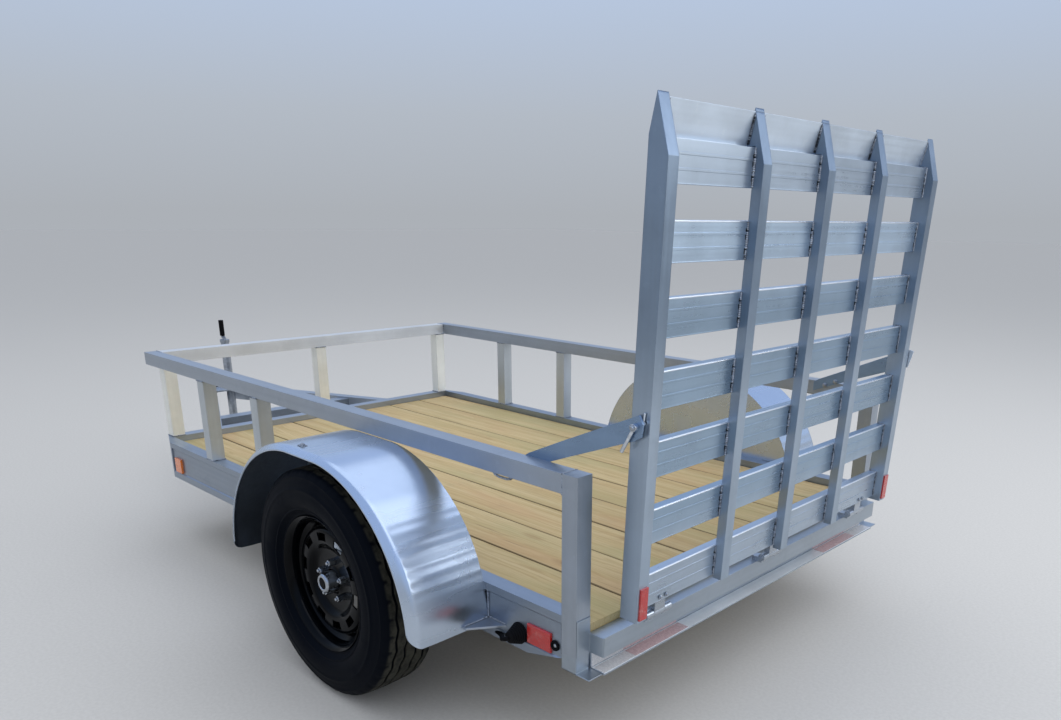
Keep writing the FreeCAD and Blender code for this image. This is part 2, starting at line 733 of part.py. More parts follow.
def gate():
    depth = size("gate_depth")
    tip = (-size("tip_back"), size("gate_tip"))
    rear = (-depth, size("gate_rear_bevel"))
    plank = size("plank_depth")
    wall = size("tube_wall")
    side_y = size("gate_width") / 2 - size("upright_width") / 2
    for side, sign in SIDES:
        outer = gate_bar("GateUpright_" + side, [(0, 0), (0, size("gate_shoulder")), tip, rear,
                                                 (-depth, 0)], "upright_width", sign * side_y)
        hollow = box("GateUprightHollow_" + side, "gate_depth - 2 * tube_wall",
                     "upright_width - 2 * tube_wall", "gate_rear_bevel - 30 + 10",
                     "tube_wall - gate_depth", "0", "0 - 10")
        hollow.Placement.Base.y = sign * side_y - size("upright_width") / 2 + wall
        whole = cut("GateUprightTube_" + side, outer, hollow)
        gate_place(whole)
        piece(whole, "gate_upright_" + side)
    # The plank between the tips is a plate along their front bevel; the inner uprights back it
    shoulder = size("gate_shoulder")
    gauge = size("top_plank_gauge")
    drop = size("top_plank_drop")
    back = -size("tip_back") * (tip[1] - drop - shoulder) / (tip[1] - shoulder)
    bars = []
    for name, y in (("Left", size("inner_upright_y")), ("Middle", 0.0),
                    ("Right", -size("inner_upright_y"))):
        bars.append(gate_bar("GateInner" + name, [
            (-plank, 4),
            (-plank, shoulder - 2),
            (-gauge, shoulder - 2),
            (-gauge, shoulder),
            (back - gauge, tip[1] - drop),
            (back, tip[1] - drop),
            tip,
            rear,
            (-depth, 4),
        ], "upright_width", y))
    piece(gate_place(group("GateInnerUprights", bars)), "gate_inner_uprights")
    top = gate_bar("GateTopPlank", [
        (0, shoulder - 3),
        (0, shoulder),
        (back, tip[1] - drop),
        (back - gauge, tip[1] - drop),
        (-gauge, shoulder),
        (-gauge, shoulder - 3),
    ], "gate_width - 2 * upright_width", 0.0)
    piece(gate_place(top), "gate_top_plank")
    tops = (
        # name, top edge above the foot of the gate as a share of the shoulder's height
        ("Second", 0.9964),
        ("Third", 0.8495),
        ("Fourth", 0.7016),
        ("Fifth", 0.5538),
        ("Sixth", 0.4033),
        ("Seventh", 0.2482),
        ("Eighth", 0.0922),
    )
    height = size("plank_height")
    planks = []
    for name, share in tops:
        high = share * size("gate_shoulder")
        low = high - height
        section = [(0, low), (0, low + 8)]
        rib = (height - 16) / 5
        for groove in range(5):
            base = low + 8 + groove * rib
            section += [(0, base), (-3, base + 2), (-3, base + rib - 4), (0, base + rib - 2)]
        section += [(0, high), (-plank, high), (-plank, low)]
        clean = []
        for point in section:
            if not clean or abs(point[0] - clean[-1][0]) + abs(point[1] - clean[-1][1]) > 0.01:
                clean.append(point)
        body = body_of("GatePlank" + name)
        profile = sketch(body, "PlankSection" + name, "XZ_Plane")
        outline(profile, clean)
        hollow = [(-3 - wall, low + wall), (-3 - wall, high - wall), (wall - plank, high - wall),
                  (wall - plank, low + wall)]
        outline(profile, hollow)
        pad(body, "PlankLength" + name, profile, "gate_width - 2 * upright_width", both=True)
        planks.append(body)
    piece(gate_place(group("GatePlanks", planks)), "gate_planks")


gate()


# Hinges of the gate: knuckles on the sill with a pin, and the gate's knuckle between them
HINGES = (
    # name, place along Y as a share of the gate's width
    ("Left", 0.402),
    ("Middle", 0.0),
    ("Right", -0.402),
)


def hinges():
    fixed = []
    moving = []
    radius = size("knuckle_radius")
    axis_x = size("hinge_x")
    axis_z = size("hinge_z")
    local = FreeCAD.Placement(
        FreeCAD.Vector(size("gate_front_x"), 0, size("gate_foot_z")),
        FreeCAD.Rotation(FreeCAD.Vector(0, 1, 0), -size("gate_lean"))).inverse()
    axis = local.multVec(FreeCAD.Vector(axis_x, 0, axis_z))
    for name, share in HINGES:
        y = round(share * size("gate_width"), 1)
        pin = cylinder("HingePin" + name, "6", "104", "hinge_x", "%.1f" % (y - 52), "hinge_z", "y")
        parts = [pin]
        for end, offset in (("A", -50.0), ("B", 22.0)):
            parts.append(cylinder("SillKnuckle%s%s" % (name, end), "knuckle_radius", "28", "hinge_x",
                                  "%.1f" % (y + offset), "hinge_z", "y"))
            foot = doc.addObject("Part::Box", "SillKnuckleFoot%s%s" % (name, end))
            foot.Length = 34
            foot.Width = 28
            bind(foot, "Height", "hinge_z - sill_top")
            bind(foot, "Placement.Base.x", "hinge_x - 2")
            foot.Placement.Base.y = y + offset
            bind(foot, "Placement.Base.z", "sill_top")
            parts.append(foot)
        fixed.append(fuse("SillHinge" + name, parts))
        barrel = doc.addObject("Part::Cylinder", "GateKnuckle" + name)
        bind(barrel, "Radius", "knuckle_radius")
        barrel.Height = 42
        barrel.Placement = FreeCAD.Placement(
            FreeCAD.Vector(axis.x, y - 21, axis.z), FreeCAD.Rotation(FreeCAD.Vector(1, 0, 0), -90))
        strap = doc.addObject("Part::Box", "GateStrap" + name)
        strap.Length = 2 * radius - 4
        strap.Width = 42
        strap.Height = 13 - axis.z
        strap.Placement.Base = FreeCAD.Vector(axis.x - radius + 2, y - 21, axis.z)
        bore = doc.addObject("Part::Cylinder", "GateKnuckleBore" + name)
        bore.Radius = 6.6
        bore.Height = 60
        bore.Placement = FreeCAD.Placement(
            FreeCAD.Vector(axis.x, y - 30, axis.z), FreeCAD.Rotation(FreeCAD.Vector(1, 0, 0), -90))
        solid = fuse("GateKnuckleSolid" + name, [barrel, strap])
        moving.append(cut("GateHinge" + name, solid, bore))
    piece(group("SillHinges", fixed), "sill_hinges")
    piece(gate_place(group("GateHinges", moving)), "gate_hinges")


hinges()


# Latches of the gate: a flat bar rises from the top rail to the outer upright
def latch(side, sign):
    """A flat bar bent inwards, cut from a plan outline and a side outline, with a small lever."""
    rail = size("bed_width") / 2 - size("tube")
    gauge = 6.0
    reach = size("gate_width") / 2 + size("latch_gap")
    top = size("rail_loop_top")
    plan = body_of("LatchPlan_" + side)
    profile = sketch(plan, "LatchPlanOutline_" + side, "XY_Plane")
    outline(profile, [(235, sign * rail), (235, sign * (rail - gauge)), (90, sign * (rail - gauge)),
                      (-55, sign * reach), (-118, sign * reach), (-118, sign * (reach + gauge)),
                      (-55, sign * (reach + gauge)), (90, sign * rail)])
    pad(plan, "LatchPlanHeight_" + side, profile, "400")
    plan.Placement.Base.z = top - 100
    face = body_of("LatchFace_" + side)
    profile = sketch(face, "LatchFaceOutline_" + side, "XZ_Plane")
    outline(profile, [(235, top - 38), (90, top + 20), (-92, top + 88), (-112, top + 100),
                      (-116, top + 130), (-104, top + 150), (25, top + 93), (215, top + 8),
                      (235, top - 4)])
    pad(face, "LatchFaceDepth_" + side, profile, "bed_width", both=True)
    piece(common("LatchBar_" + side, [plan, face]), "latch_bar_" + side)
    # The lever is a short rod that hangs from its pivot on the outer face of the bar
    outside = reach + gauge + 0.4
    boss_y = "%.1f" % (outside if sign > 0 else -outside - 13)
    boss = cylinder("LatchBoss_" + side, "9", "13", "0 - 97", boss_y, "rail_loop_top + 122", "y")
    rod = doc.addObject("Part::Cylinder", "LatchRod_" + side)
    rod.Radius = 4.5
    rod.Height = 72
    lean = math.degrees(math.atan2(34.0, 60.0))
    rod.Placement = FreeCAD.Placement(FreeCAD.Vector(-97, sign * (outside + 6.5), top + 122),
                                      FreeCAD.Rotation(FreeCAD.Vector(0, 1, 0), 180 - lean))
    piece(fuse("LatchLeverWhole_" + side, [boss, rod]), "latch_lever_" + side)


for side, sign in SIDES:
    latch(side, sign)


# Tongue: two tubes run together from the front sill, with the coupler and the jack
NOSE = "bed_length + tongue_reach"


def tongue():
    front = size("bed_length")
    run = size("tongue_reach")
    near = size("tongue_near")
    spread = size("tongue_half")
    for side, sign in SIDES:
        angle = math.degrees(math.atan2(-(spread - near), run)) * sign
        length = math.hypot(run, spread - near) + 90
        outer = doc.addObject("Part::Box", "TongueOuter_" + side)
        outer.Length = length
        bind(outer, "Width", "tongue_width")
        bind(outer, "Height", "tongue_height")
        inner = doc.addObject("Part::Box", "TongueHollow_" + side)
        inner.Length = length + 2
        bind(inner, "Width", "tongue_width - 2 * tube_wall")
        bind(inner, "Height", "tongue_height - 2 * tube_wall")
        turn = FreeCAD.Rotation(FreeCAD.Vector(0, 0, 1), angle)
        start = FreeCAD.Vector(front, sign * spread, size("tongue_bottom"))
        half = size("tongue_width") / 2
        wall = size("tube_wall")
        outer.Placement = FreeCAD.Placement(start + turn.multVec(FreeCAD.Vector(-45, -half, 0)), turn)
        inner.Placement = FreeCAD.Placement(
            start + turn.multVec(FreeCAD.Vector(-46, wall - half, wall)), turn)
        raw = cut("TongueRaw_" + side, outer, inner)
        keep = box("TongueKeep_" + side, "tongue_reach", "bed_width", "200",
                   "bed_length", "0 - bed_width / 2", "tongue_bottom - 50")
        piece(common("TongueTube_" + side, [raw, keep]), "tongue_tube_" + side)


tongue()


def tongue_cross():
    """Cross box between the tongue tubes, its ends cut to their inner faces."""
    run = size("tongue_reach")
    slope = (size("tongue_half") - size("tongue_near")) / run
    x = size("tongue_cross_reach")
    depth = 64.0
    shift = size("tongue_width") / 2 * math.hypot(1, slope)
    near = size("tongue_half") - slope * x - shift
    far = size("tongue_half") - slope * (x + depth) - shift
    body = body_of("TongueCross")
    profile = sketch(body, "TongueCrossPlan", "XY_Plane")
    outline(profile, [(0, near), (depth, far), (depth, -far), (0, -near)])
    pad(body, "TongueCrossHeight", profile, "tongue_cross_height")
    bind(body, "Placement.Base.x", "bed_length + tongue_cross_reach")
    bind(body, "Placement.Base.z", "tongue_bottom + tongue_height - tongue_cross_height - 8")
    piece(body, "tongue_cross")


tongue_cross()


def coupler():
    """Pressed channel over the ends of the tongue tubes with a ball socket at its nose."""
    low = "tongue_bottom + tongue_height"
    plate = body_of("CouplerPlate")
    profile = sketch(plate, "CouplerPlateOutline", "XY_Plane")
    nose = size("bed_length") + size("tongue_reach")
    outline(profile, [(nose - 48, 92), (nose, 76), (nose + 90, 34), (nose + 90, -34),
                      (nose, -76), (nose - 48, -92)])
    pad(plate, "CouplerPlateGauge", profile, "8")
    plate.Placement.Base.z = size("tongue_bottom") + size("tongue_height")
    shell_outer = box("CouplerOuter", "150", "68", "44", NOSE + " + 2", "0 - 34",
                      "tongue_bottom + tongue_height - 36")
    shell_inner = box("CouplerInner", "152", "58", "44", NOSE + " + 1", "0 - 29",
                      "tongue_bottom + tongue_height - 41")
    channel = cut("CouplerChannel", shell_outer, shell_inner)
    dome = cylinder("CouplerDome", "36", "52", NOSE + " + 152", "0",
                    "tongue_bottom + tongue_height - 36", "z")
    hollow = cylinder("CouplerSocket", "30", "44", NOSE + " + 152", "0",
                      "tongue_bottom + tongue_height - 37", "z")
    whole = fuse("CouplerSolid", [plate, channel, dome])
    piece(cut("Coupler", whole, hollow), "coupler")
    lever = box("CouplerLeverArm", "110", "22", "10", NOSE + " - 10", "0 - 11",
                "tongue_bottom + tongue_height + 26")
    post = box("CouplerLeverPost", "24", "22", "18", NOSE + " + 60", "0 - 11",
               "tongue_bottom + tongue_height + 8")
    piece(fuse("CouplerLatch", [lever, post]), "coupler_latch")


coupler()


def jack():
    """Top-wind jack through a plate on the tongue tubes, its foot on the ground."""
    plate_z = "tongue_bottom + tongue_height"
    low = "200"
    tube = cylinder("JackTubeOuter", "jack_radius", "jack_top - 200", NOSE + " - jack_back", "0", low, "z")
    plate = box("JackPlate", "110", "210", "8", NOSE + " - jack_back - 55", "0 - 105", plate_z)
    piece(fuse("JackTube", [tube, plate]), "jack_tube")
    leg = cylinder("JackLegBar", "jack_radius - 5", "200 - 12", NOSE + " - jack_back", "0", "12", "z")
    foot = doc.addObject("Part::Cone", "JackFoot")
    foot.Radius1 = 70
    foot.Radius2 = 60
    foot.Height = 12
    bind(foot, "Placement.Base.x", NOSE + " - jack_back")
    piece(fuse("JackLeg", [leg, foot]), "jack_leg")
    head = cylinder("JackHead", "jack_radius + 3", "16", NOSE + " - jack_back", "0", "jack_top", "z")
    # The crank is parked pointing forwards and to the right
    park = FreeCAD.Rotation(FreeCAD.Vector(0, 0, 1), -20)
    pivot = FreeCAD.Vector(size("bed_length") + size("tongue_reach") - size("jack_back"), 0,
                           size("jack_top") + 16)
    arm = doc.addObject("Part::Box", "JackCrankArm")
    bind(arm, "Length", "crank_arm + 18")
    arm.Width = 18
    arm.Height = 8
    arm.Placement = FreeCAD.Placement(pivot + park.multVec(FreeCAD.Vector(-9, -9, 0)), park)
    piece(fuse("JackCrank", [head, arm]), "jack_crank")
    grip = doc.addObject("Part::Cylinder", "JackGrip")
    grip.Radius = 13
    grip.Height = 86
    end = pivot + park.multVec(FreeCAD.Vector(size("crank_arm"), 0, 8))
    grip.Placement = FreeCAD.Placement(end, FreeCAD.Rotation())
    piece(grip, "jack_grip")


jack()


# Lights and reflectors
def lights():
    amber = []
    red = []
    lenses = []
    for side, sign in SIDES:
        face = "bed_width / 2 - frame_step"
        y = face if sign > 0 else "0 - bed_width / 2 - 4"
        amber.append(box("AmberReflector_" + side, "56", "8", "60", "bed_length - 226", y,
                         "frame_top - frame_depth + 32"))
        y = face if sign > 0 else "0 - bed_width / 2 - 8"
        red.append(box("RedMarker_" + side, "88", "12", "44", "87", y,
                       "frame_top - frame_depth + 50"))
        middle = sign * (size("gate_width") - size("upright_width")) / 2
        lens = doc.addObject("Part::Box", "GateReflector_" + side)
        bind(lens, "Length", "reflector_gauge")
        bind(lens, "Width", "reflector_width")
        bind(lens, "Height", "reflector_height")
        lens.Placement.Base = FreeCAD.Vector(-size("gate_depth") - size("reflector_gauge"),
                                             middle - size("reflector_width") / 2, 8)
        lenses.append(lens)
    piece(group("AmberReflectors", amber), "front_reflectors")
    piece(group("RedMarkers", red), "side_markers")
    piece(gate_place(group("GateReflectors", lenses)), "gate_reflectors")


lights()


# Finish: check every object and write the sub-parts
doc.recompute()
for item in doc.Objects:
    if "Invalid" in item.State or "Error" in item.State:
        raise RuntimeError("object %s did not build: %s" % (item.Name, item.State))
for item in PIECES:
    shape = item.Shape
    if shape.isNull() or not shape.isValid() or not shape.Solids:
        raise RuntimeError("sub-part %s has no valid solid" % item.Label)
for item in PIECES:
    item.Shape.exportStep("parts/%s.step" % item.Label)
print("sub-parts written: %d" % len(PIECES))
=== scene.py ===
# Looks of the open utility trailer: camera, light, materials and the detail on top of the CAD solids.
import random
from math import atan2, cos, degrees, pi, radians, sin, sqrt

import bmesh
import bpy
from mathutils import Matrix, Vector


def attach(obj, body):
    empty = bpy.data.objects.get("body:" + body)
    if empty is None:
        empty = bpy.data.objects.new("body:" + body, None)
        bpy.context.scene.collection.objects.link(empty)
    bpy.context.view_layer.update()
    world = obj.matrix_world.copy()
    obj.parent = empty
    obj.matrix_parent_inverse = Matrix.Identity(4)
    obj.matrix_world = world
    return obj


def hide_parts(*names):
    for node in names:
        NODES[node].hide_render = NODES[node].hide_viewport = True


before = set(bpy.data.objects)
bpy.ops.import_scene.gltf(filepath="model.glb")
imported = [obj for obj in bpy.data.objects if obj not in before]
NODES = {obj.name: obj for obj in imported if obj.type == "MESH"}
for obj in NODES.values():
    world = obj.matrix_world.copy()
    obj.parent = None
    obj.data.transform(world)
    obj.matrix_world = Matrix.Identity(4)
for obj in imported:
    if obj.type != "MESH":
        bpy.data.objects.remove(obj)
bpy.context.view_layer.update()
SCENE = bpy.context.scene
DICE = random.Random(20)

# Sizes and places of the drawing, in mm: x forwards from the rear posts, y left, z up from the ground
SIDES = (("left", 1), ("right", -1))
ORIGIN_X = 1822.0
BED_LENGTH = 2504.0
BED_HALF = 786.0
TUBE = 50.0
INSIDE = BED_HALF - TUBE
WEB_Y = BED_HALF - 4.0
FRAME_BOTTOM = 288.2
FRAME_TOP = 436.0
RAIL_LOW = 750.0
RAIL_TOP = 800.0
SIDE_POSTS_X = (1965.0, 1540.0)
SILL_BOX_LOW = 338.0
SILL_BOX_TOP = 390.0
FLANGE_TOP = 292.1
WHEEL = (820.0, 924.0, 344.0)

# Deck
BOARDS = 8
BOARD_PITCH = 2 * INSIDE / BOARDS
BOARD_GAP = 4.4
BOARD_EASE = 4.5
DECK_TOP = 412.0
DECK_BOTTOM = 374.0

# Gate, in its own drawing: x forwards from its front face, z up from its foot
GATE_FRONT_X = -51.3
GATE_FOOT_Z = 431.0
GATE_LEAN = radians(2.1)
GATE_HALF = 684.0
GATE_SHOULDER = 1096.0
UPRIGHT_HALF = 18.0
UPRIGHTS_Y = (310.0, 0.0, -310.0)
BAY_HALF = GATE_HALF - 2 * UPRIGHT_HALF
PLANK_TOPS = tuple(GATE_SHOULDER * share for share in
                   (0.9964, 0.8495, 0.7016, 0.5538, 0.4033, 0.2482, 0.0922))
PLANK_HEIGHT = 88.0
PLANK_DEPTH = 27.0
HINGE_Y = 0.804 * GATE_HALF

# Fenders: half length, height and rounding of the arch, and the fold along its outer edge
FENDER_HALF = 490.0
FENDER_BOTTOM = 320.0
FENDER_TOP = 748.0
FENDER_SHOULDER = 420.0
FENDER_OUTSIDE = BED_HALF + 248.0
FENDER_SHEET = 3.0
FENDER_STEPS = 150
FOLD_OUT = 18.0
FOLD_DROP = 20.0
FOLD_BLEND = 7.0
LIP_RADIUS = 2.6
CORNER_RADIUS = 42.0
OPENING_Z = 300.0

# Tyre tread
GROOVES = (50.0, 18.0)
GROOVE_DEPTH = 6.5
TREAD_HALF = 69.0
TREAD_CROWN = 2.6
TYRE_TURNS = 240

# Lamps on the side rails
MARKER_X = (87.0, 173.0)
MARKER_Z = (317.0, 372.0)
GROMMET = (74.0, 343.0)
BOOT = (206.0, 330.0)

# Small fittings
BRACKET_TOP = 335.5
LOOP_X = 265.0


def drawn(x, y, z):
    """A point of the drawing in the scene, in metres."""
    return Vector(((x - ORIGIN_X) / 1000.0, y / 1000.0, z / 1000.0))


def put(name, data):
    """A new object in the scene."""
    item = bpy.data.objects.new(name, data)
    SCENE.collection.objects.link(item)
    return item


def gate_drawn(x, y, z):
    """A point of the upright gate's own drawing in the scene."""
    return drawn(GATE_FRONT_X + x * cos(GATE_LEAN) - z * sin(GATE_LEAN), y,
                 GATE_FOOT_Z + x * sin(GATE_LEAN) + z * cos(GATE_LEAN))


# Node graphs
class Graph:
    """The node tree of a new material or world."""

    def __init__(self, name, kind="materials", coordinates="Object"):
        self.holder = getattr(bpy.data, kind).new(name)
        self.holder.use_nodes = True
        self.tree = self.holder.node_tree
        self.tree.nodes.clear()
        self.coords = self.node("ShaderNodeTexCoord").outputs[coordinates]

    def node(self, kind, inputs=None, **settings):
        """A node with its settings, its inputs linked to sockets or set to values."""
        item = self.tree.nodes.new(kind)
        for key, value in settings.items():
            setattr(item, key, value)
        for key, value in (inputs or {}).items():
            if isinstance(value, bpy.types.NodeSocket):
                self.tree.links.new(value, item.inputs[key])
            elif value is not None:
                is_color = item.inputs[key].type == "RGBA"
                item.inputs[key].default_value = (*value, 1.0) if is_color else value
        return item

    def scaled(self, scale, vector=None, offset=(0, 0, 0)):
        return self.node("ShaderNodeMapping", {"Vector": vector or self.coords, "Scale": scale,
                                               "Location": offset}).outputs[0]

    def noise(self, scale, detail, rough, vector=None, distortion=0.0):
        return self.node("ShaderNodeTexNoise", {
            "Vector": vector or self.coords, "Scale": scale, "Detail": detail, "Roughness": rough,
            "Distortion": distortion}).outputs["Fac"]

    def streaks(self, scale, detail, rough, vector=None):
        """Noise drawn out by a scale of its own along each axis."""
        return self.noise(1.0, detail, rough, self.scaled(scale, vector))

    def voronoi(self, scale, vector=None, feature="F1", output="Distance"):
        return self.node("ShaderNodeTexVoronoi", {"Vector": vector or self.coords, "Scale": scale},
                         feature=feature).outputs[output]

    def math(self, operation, a, b=0.0):
        return self.node("ShaderNodeMath", {0: a, 1: b}, operation=operation).outputs[0]

    def add(self, a, b):
        return self.math("ADD", a, b)

    def times(self, a, b):
        return self.math("MULTIPLY", a, b)

    def ramp(self, value, low, high, to_low=0.0, to_high=1.0, kind="SMOOTHSTEP"):
        return self.node("ShaderNodeMapRange", {
            "Value": value, "From Min": low, "From Max": high, "To Min": to_low, "To Max": to_high},
            interpolation_type=kind).outputs[0]

    def mix(self, factor, a, b, blend="MIX"):
        return self.node("ShaderNodeMix", {0: factor, 6: a, 7: b}, data_type="RGBA",
                         blend_type=blend).outputs[2]

    def over(self, color, mask, amount, other):
        """Lays another colour over a colour where the mask is high."""
        return self.mix(self.times(mask, amount), color, other)

    def separate(self, vector):
        return self.node("ShaderNodeSeparateXYZ", {0: vector}).outputs

    def bump(self, height, strength, distance, edge=None):
        """Fine relief, over edges that shade as if rounded by a radius."""
        rounded = self.node("ShaderNodeBevel", {"Radius": edge}, samples=4).outputs[0] if edge else None
        return self.node("ShaderNodeBump", {"Height": height, "Strength": strength, "Distance": distance,
                                            "Normal": rounded}).outputs[0]

    def finish(self, color, rough, normal=None, **sockets):
        """The finished material; its shader's other sockets are named with underscores."""
        inputs = {key.replace("_", " "): value for key, value in sockets.items()}
        shader = self.node("ShaderNodeBsdfPrincipled", {
            "Base Color": color, "Roughness": rough, "Normal": normal, **inputs})
        self.node("ShaderNodeOutputMaterial", {"Surface": shader.outputs[0]})
        return self.holder


# Materials
def drawn_out(axis, length, width):
    """Scales of a pattern that is drawn out along one axis."""
    return tuple(length if letter == axis else width for letter in "xyz")


def toned(tint, share):
    """A colour made darker or brighter."""
    return tuple(min(1.0, channel * share) for channel in tint)


def aluminium(name, axis, tint=(0.370, 0.412, 0.470), rough=(0.28, 0.40), edge=0.0016, metal=0.88,
              lit_and_shaded_heights=()):
    """Mill-finish extrusion: die lines along one axis, clouding, scuffs and marks."""
    g = Graph(name)
    lines = g.streaks(drawn_out(axis, 0.5, 38), 2, 0.5)
    hair = g.streaks(drawn_out(axis, 0.9, 120), 1, 0.5)
    cloud = g.noise(5.0, 6, 0.62)
    marks = g.ramp(g.noise(12.0, 4, 0.6, distortion=0.5), 0.56, 0.74)
    scuff = g.ramp(g.noise(34.0, 3, 0.6, g.scaled((1, 1, 1), offset=(3, 7, 1))), 0.60, 0.72)
    tone = g.add(g.times(lines, 0.35), g.times(cloud, 0.65))
    color = g.mix(g.ramp(tone, 0.34, 0.66), toned(tint, 0.92), toned(tint, 1.07))
    color = g.over(color, marks, 0.12, toned(tint, 0.70))
    color = g.over(color, scuff, 0.10, toned(tint, 1.45))
    if lit_and_shaded_heights:
        # Painted light and shade: the colour is made darker or brighter with the height
        share = (1.0, 1.0, 1.0)
        height = g.separate(g.coords)[2]
        for low, high, painted_tone in lit_and_shaded_heights:
            share = g.mix(g.ramp(height, low, high), share, painted_tone)
        color = g.mix(1.0, color, share, "MULTIPLY")
    roughness = g.ramp(g.add(g.times(hair, 0.4), g.times(cloud, 0.6)), 0.35, 0.65, *rough)
    roughness = g.add(roughness, g.times(marks, 0.08))
    height = g.add(g.times(lines, 0.6), g.times(hair, 0.4))
    return g.finish(color, roughness, g.bump(height, 0.05, 0.0005, edge), Metallic=metal)


def polished(name):
    """Satin rolled sheet of the fenders: broad clouding and soft handling marks."""
    g = Graph(name)
    cloud = g.noise(3.0, 4, 0.5)
    bands = g.streaks((16, 0.6, 16), 2, 0.5)
    marks = g.ramp(g.noise(9.0, 4, 0.6), 0.54, 0.76)
    # Painted reflection: the blue cast of these tones stands in for the sky in the sheet; the clouding
    # between them is the sheet's own
    color = g.mix(g.ramp(cloud, 0.3, 0.7), (0.50, 0.575, 0.68), (0.56, 0.635, 0.74))
    color = g.over(color, marks, 0.10, (0.38, 0.41, 0.46))
    roughness = g.ramp(bands, 0.3, 0.7, 0.23, 0.30)
    roughness = g.add(roughness, g.times(marks, 0.05))
    return g.finish(color, roughness, g.bump(bands, 0.10, 0.0015, 0.001), Metallic=0.92)


def zinc(name, tint=(0.40, 0.43, 0.47), rough=(0.28, 0.5)):
    """Plated steel with faint spangles and a little dirt."""
    g = Graph(name)
    spangle = g.voronoi(70.0, feature="SMOOTH_F1")
    cloud = g.noise(20.0, 5, 0.6)
    dirt = g.ramp(g.noise(9.0, 5, 0.7), 0.55, 0.8)
    color = g.mix(g.ramp(spangle, 0.0, 0.6), toned(tint, 1.12), toned(tint, 0.85))
    color = g.over(color, dirt, 0.45, (0.25, 0.23, 0.21))
    roughness = g.ramp(cloud, 0.3, 0.7, *rough)
    return g.finish(color, roughness, g.bump(cloud, 0.1, 0.0008, 0.0015), Metallic=1.0)


def black_paint(name):
    """Black enamel with a slight orange peel, dust and specks."""
    g = Graph(name)
    peel = g.noise(140.0, 3, 0.5)
    dust = g.ramp(g.noise(11.0, 6, 0.7), 0.50, 0.85)
    speck = g.ramp(g.noise(260.0, 2, 0.6), 0.68, 0.76)
    color = g.over((0.0009, 0.0013, 0.0022), dust, 0.06, (0.030, 0.029, 0.028))
    color = g.over(color, speck, 0.05, (0.12, 0.12, 0.12))
    roughness = g.ramp(dust, 0.0, 1.0, 0.14, 0.28)
    return g.finish(color, roughness, g.bump(peel, 0.06, 0.0005, 0.0014), Specular_IOR_Level=0.10)


def rubber(name, base=(0.0008, 0.0020, 0.0050), rough=0.55, tread=False):
    """Dark rubber with a fine grain; a tyre's tread also carries pale road dust."""
    g = Graph(name)
    fine = g.noise(420.0, 3, 0.6)
    dust = g.ramp(g.noise(7.0, 6, 0.65), 0.45, 0.82)
    color = g.over(base, dust, 0.06, (0.020, 0.024, 0.032))
    color = g.mix(g.ramp(fine, 0.3, 0.7, 0.0, 0.12), color, (0.004, 0.006, 0.010))
    if tread:
        centre = drawn(*WHEEL)
        x, y, z = g.separate(g.coords)
        across = g.math("SUBTRACT", x, centre.x)
        above = g.math("SUBTRACT", z, centre.z)
        radius = g.math("POWER", g.add(g.times(across, across), g.times(above, above)), 0.5)
        worn = g.ramp(radius, 0.3385, 0.3425)
        worn = g.times(worn, g.ramp(g.noise(30.0, 5, 0.7), 0.3, 0.6, 0.35, 1.0))
        color = g.over(color, worn, 0.75, (0.068, 0.066, 0.052))
    roughness = g.ramp(dust, 0.0, 1.0, rough, rough + 0.2)
    return g.finish(color, roughness, g.bump(fine, 0.22, 0.0006), Specular_IOR_Level=0.05)


def tape(name, base, bright):
    """Reflective tape: tiny cells under a clear film, a little soiled."""
    g = Graph(name)
    cell = g.voronoi(260.0, output="Color")
    seam = g.voronoi(260.0, feature="DISTANCE_TO_EDGE")
    soil = g.ramp(g.noise(26.0, 5, 0.65), 0.46, 0.78)
    color = g.mix(g.ramp(g.separate(cell)[0], 0.0, 1.0), base, bright)
    color = g.mix(g.ramp(seam, 0.0, 0.08, 0.35, 0.0), color, toned(base, 0.6))
    color = g.over(color, soil, 0.22, (0.30, 0.27, 0.24))
    normal = g.bump(seam, 0.15, 0.0004)
    return g.finish(color, g.ramp(soil, 0.0, 1.0, 0.22, 0.45), normal, Coat_Weight=0.4)


def lens(name, base, deep):
    """Moulded reflector lens: a grid of small prisms behind a glossy face."""
    g = Graph(name)
    grid = g.voronoi(430.0, feature="DISTANCE_TO_EDGE")
    cell = g.voronoi(430.0, output="Color")
    dust = g.ramp(g.noise(40.0, 5, 0.6), 0.5, 0.8)
    color = g.mix(g.ramp(g.separate(cell)[0], 0.0, 1.0, 0.0, 0.6), base, deep)
    color = g.over(color, dust, 0.18, (0.5, 0.42, 0.38))
    normal = g.bump(grid, 0.5, 0.0015, 0.0012)
    return g.finish(color, g.ramp(dust, 0.0, 1.0, 0.12, 0.3), normal, Coat_Weight=0.8,
                    Coat_Roughness=0.05)


